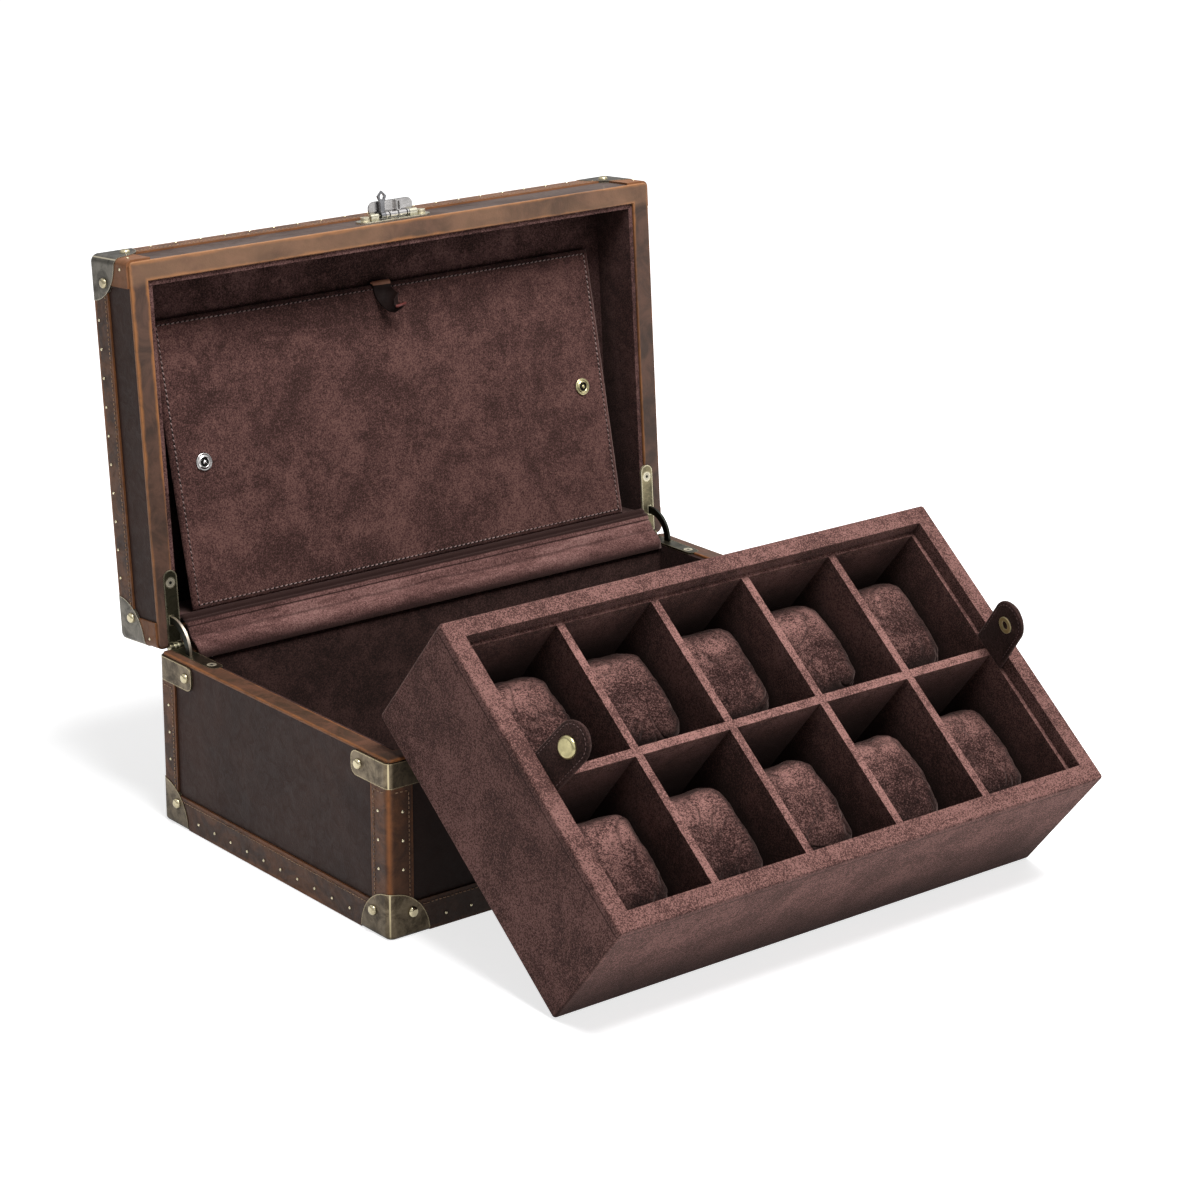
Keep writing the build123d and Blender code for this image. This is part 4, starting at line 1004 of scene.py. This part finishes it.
verts = []
for under in (False, True):
    for i, p in enumerate(strip_line):
        ahead = ahead_of(strip_line, i)
        normal = Vector((0, -ahead.z, ahead.y))
        reach = i / (len(strip_line) - 1)
        amount = math.sin(reach * math.pi)
        for j in range(STRIP_COLUMNS):
            x = -STRIP_HALF + 2 * STRIP_HALF * j / (STRIP_COLUMNS - 1)
            wave = 0.55 * noise.noise(Vector((x / 26, i / 7, 1.7)))
            wave += 0.2 * noise.noise(Vector((x / 7, i / 5, 6.1)))
            spot = p + normal * (wave * amount + (0 if under else strip_thick(reach)))
            verts.append(base_place((x, spot.y, spot.z)))
strip = make("hinge_suede_strip", verts, two_layers(STRIP_COLUMNS, len(strip_line)), "strip")
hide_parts("hinge_strip")
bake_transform(strip)

# Leather piping that closes the gap right at the hinge line
PIPING_HALF, PIPING_R = 174.8, 1.15
PIPING_Y, PIPING_Z = 113.8, 104.5
piping = Many()
piping.ring(lambda p: base_place((p[2], PIPING_Y + p[0], PIPING_Z + p[1])), 0.0, PIPING_R, PIPING_HALF, 12)
piping = make("hinge_piping", piping.verts, piping.faces, "lid_case")
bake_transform(piping)

# Pad under the floor
pad_low, pad_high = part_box("underside_pad")
pad_x, pad_y, pad_z = ((pad_high[k] - pad_low[k]) / MM for k in range(3))


def felt_place(p):
    return base_place((p[0], p[1] - pad_y / 2, pad_low[2] / MM - p[2]))


pad = slab("underside_felt", felt_place, (pad_x, pad_y), pad_z, "felt", "base", step=12.0, swell=0.0,
           seed=5.0, edge_round=0.3)
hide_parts("underside_pad")

# Cushions: a rolled pad, filled by a cloth simulation, and then each one's own dents
CUSHION_HALF = Vector((58.9, 66.0, 47.0)) / 2
CUSHION_RISE = 31.8
CUSHION_PITCH = 65.12
CUSHION_ROWS = (("near", 51.5), ("far", 142.5))
START_SCALE = 0.955
VOXEL = 0.0042
CLOTH_FRAMES = 20


def cushion_shape():
    """The cushion's plain form in millimetres about its centre: a rounded roll, rounder at its ends."""
    half = CUSHION_HALF
    roll, end = 20.0, 9.0
    verts = []
    sides = 64
    inner = [0.25, 0.5, 0.7, 0.82, 0.9, 0.95, 0.985, 1.0]
    stations = [-t for t in reversed(inner)] + [0.0] + inner
    for t in stations:
        x = t * half.x
        inside = max(0.0, abs(x) - (half.x - end))
        draw = end - math.sqrt(max(0.0, end * end - inside * inside))
        for c, s in circle(sides):
            y = (half.y - roll) * max(-1.0, min(1.0, c * 2.2)) + (roll - draw) * c
            z = (half.z - roll) * max(-1.0, min(1.0, s * 2.2)) + (roll - draw) * s
            verts.append(Vector((x, y, z)))
    return verts, tube(0, len(stations), sides)


def simulated_cushion():
    """The form swollen by cloth pressure, as vertices about its centre and faces."""
    verts, faces = cushion_shape()
    obj = add_mesh("cushion_start", [v * START_SCALE * MM for v in verts], faces)
    remesh = obj.modifiers.new("remesh", "REMESH")
    remesh.mode = "VOXEL"
    remesh.voxel_size = VOXEL
    cloth = obj.modifiers.new("cloth", "CLOTH")
    cloth.settings.use_pressure = True
    cloth.settings.uniform_pressure_force = 4.0
    cloth.settings.effector_weights.gravity = 0.0
    cloth.settings.mass = 0.3
    cloth.settings.bending_stiffness = 0.4
    for number in range(1, CLOTH_FRAMES + 1):
        scene.frame_set(number)
    depsgraph = bpy.context.evaluated_depsgraph_get()
    made = bpy.data.meshes.new_from_object(obj.evaluated_get(depsgraph))
    bm = bmesh.new()
    bm.from_mesh(made)
    bmesh.ops.subdivide_edges(bm, edges=bm.edges, cuts=1, use_grid_fill=True, smooth=0.6)
    points = [v.co / MM for v in bm.verts]
    made_faces = [tuple(v.index for v in f.verts) for f in bm.faces]
    bm.free()
    bpy.data.objects.remove(obj)
    scene.frame_set(1)
    return points, made_faces


shape, cushion_faces = simulated_cushion()
half = CUSHION_HALF
grown = [max(abs(v[k]) for v in shape) for k in range(3)]
for row, (side, across) in enumerate(CUSHION_ROWS):
    for column in range(5):
        name = f"{side}_{column + 1}"
        centre = Vector(((column - 2) * CUSHION_PITCH, across, CUSHION_RISE))
        seed = Vector((7.3 * column, 11.1 * row, 3.1 * (column + 2 * row)))
        lean = 0.6 * noise.noise(seed + Vector((0, 0, 9)))
        points = []
        for v in shape:
            p = Vector((v[k] * half[k] / grown[k] for k in range(3)))
            out = p.normalized()
            dent = 1.5 * noise.noise(p / 19 + seed) + 0.55 * noise.noise(p / 7.5 + seed * 2)
            # Puckers where the cloth is drawn in towards the ends
            end = max(0.0, abs(p.x) / half.x - 0.62) / 0.38
            round_it = math.atan2(p.z, p.y)
            dent -= 0.45 * end * (0.5 + 0.5 * math.sin(round_it * 17 + 2 * noise.noise(seed + p / 15)))
            p = p + out * (dent - 0.9)
            p.x += lean
            for k in range(3):
                p[k] = max(-half[k], min(half[k], p[k]))
            points.append(tray_place(centre + p))
        # The cushions' colours are darkened for painted shade, with painted light on faces turned up the
        # slope, fading in over a stretch of each cushion, and painted shade in the creases and where surfaces
        # close in.
        MAT[f"cushion_{name}"] = suede(
            f"cushion_suede_{name}", (0.014, 0.007, 0.006), (0.055, 0.025, 0.0225), SUEDE_LIGHT, 44.0,
            0.37 * (column + 5 * row) + 0.2, speckle=5.0, lit_toward=TRAY_OUT * 0.8 + TRAY_UP * 0.6, rise=1.0,
            window=(0.35, 0.8), lit_gain=2.0, depth=0.05, lit_span=(centre.y - 4, centre.y + 24), crease_shade=0.5)
        pillow = make(f"cushion_pillow_{name}", points, cushion_faces, f"cushion_{name}", f"cushion_{name}")
        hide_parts(f"cushion_{name}")

# Floor and lights
FLOOR_HALF = 6.0
WHITE = (1, 1, 1, 1)
corners = [(x * FLOOR_HALF, y * FLOOR_HALF, 0) for x, y in ((-1, -1), (1, -1), (1, 1), (-1, 1))]
floor = add_mesh("floor", corners, [(0, 1, 2, 3)])


def emptied(holder):
    """The node tree of a material or world, with nothing in it."""
    holder.use_nodes = True
    holder.node_tree.nodes.clear()
    return holder.node_tree


def seen_only(tree):
    """1 for rays that show the background: camera, glossy and transmission rays."""
    rays = add_node(tree, "LightPath").outputs
    total = rays["Is Camera Ray"]
    for name in ("Is Glossy Ray", "Is Transmission Ray"):
        add = add_node(tree, "Math", {0: total, 1: rays[name]}, operation="ADD", use_clamp=True)
        total = add.outputs[0]
    return total


floor_mat = bpy.data.materials.new("floor")
tree = emptied(floor_mat)
at = add_node(tree, "TexCoord").outputs["Object"]
far = add_node(tree, "VectorMath", {0: at}, operation="LENGTH").outputs["Value"]
glow_by = add_node(tree, "MapRange", {0: far, 1: 0.3, 2: 1.1, 3: 0.75, 4: 0.94},
                   interpolation_type="SMOOTHSTEP").outputs[0]
# The white table also sends light up at the sides that lean out over it
bounce = add_node(tree, "Math", {0: seen_only(tree), 1: 0.3}, operation="MAXIMUM").outputs[0]
scale = add_node(tree, "Math", {0: bounce, 1: glow_by}, operation="MULTIPLY").outputs[0]
glow = add_node(tree, "Emission", {"Color": WHITE, "Strength": scale}).outputs[0]
diffuse = add_node(tree, "BsdfDiffuse", {"Color": (0.78, 0.78, 0.785, 1)}).outputs[0]
both = add_node(tree, "AddShader", {0: diffuse, 1: glow}).outputs[0]
add_node(tree, "OutputMaterial", {"Surface": both})
floor.data.materials.append(floor_mat)

world = bpy.data.worlds.new("world")
scene.world = world
tree = emptied(world)
rays = add_node(tree, "LightPath").outputs
toward = add_node(tree, "TexCoord").outputs["Generated"]
height = add_node(tree, "SeparateXYZ", {0: toward}).outputs[2]
# Reflections see a bright ceiling over dimmer walls
room = add_node(tree, "MapRange", {0: height, 1: 0.0, 2: 0.6, 3: 0.25, 4: 1.15}).outputs[0]
glossy = add_node(tree, "Mix", {0: rays["Is Glossy Ray"], 2: 0.08, 3: room}).outputs[0]
seen = add_node(tree, "Math", {0: glossy, 1: rays["Is Camera Ray"]}, operation="MAXIMUM").outputs[0]
sky = add_node(tree, "Background", {"Color": WHITE, "Strength": seen}).outputs[0]
add_node(tree, "OutputWorld", {"Surface": sky})


def softbox(name, at, look, size, power):
    lamp = bpy.data.lights.new(name, "AREA")
    lamp.shape = "RECTANGLE"
    lamp.size, lamp.size_y = size
    lamp.energy = power
    obj = add_object(name, lamp)
    obj.location = at
    obj.rotation_mode = "QUATERNION"
    obj.rotation_quaternion = (Vector(look) - Vector(at)).to_track_quat("-Z", "Y")
    obj.visible_camera = False


softbox("key", (0.12, -0.85, 2.2), (0, -0.05, 0.1), (1.3, 0.9), 72.0)
softbox("front", (-0.4, -2.3, 0.9), (0, -0.1, 0.12), (1.2, 0.9), 3.5)
softbox("right", (1.6, 0.3, 1.2), (0, 0, 0.1), (1.0, 1.0), 4.0)

scene.view_settings.view_transform = "Standard"
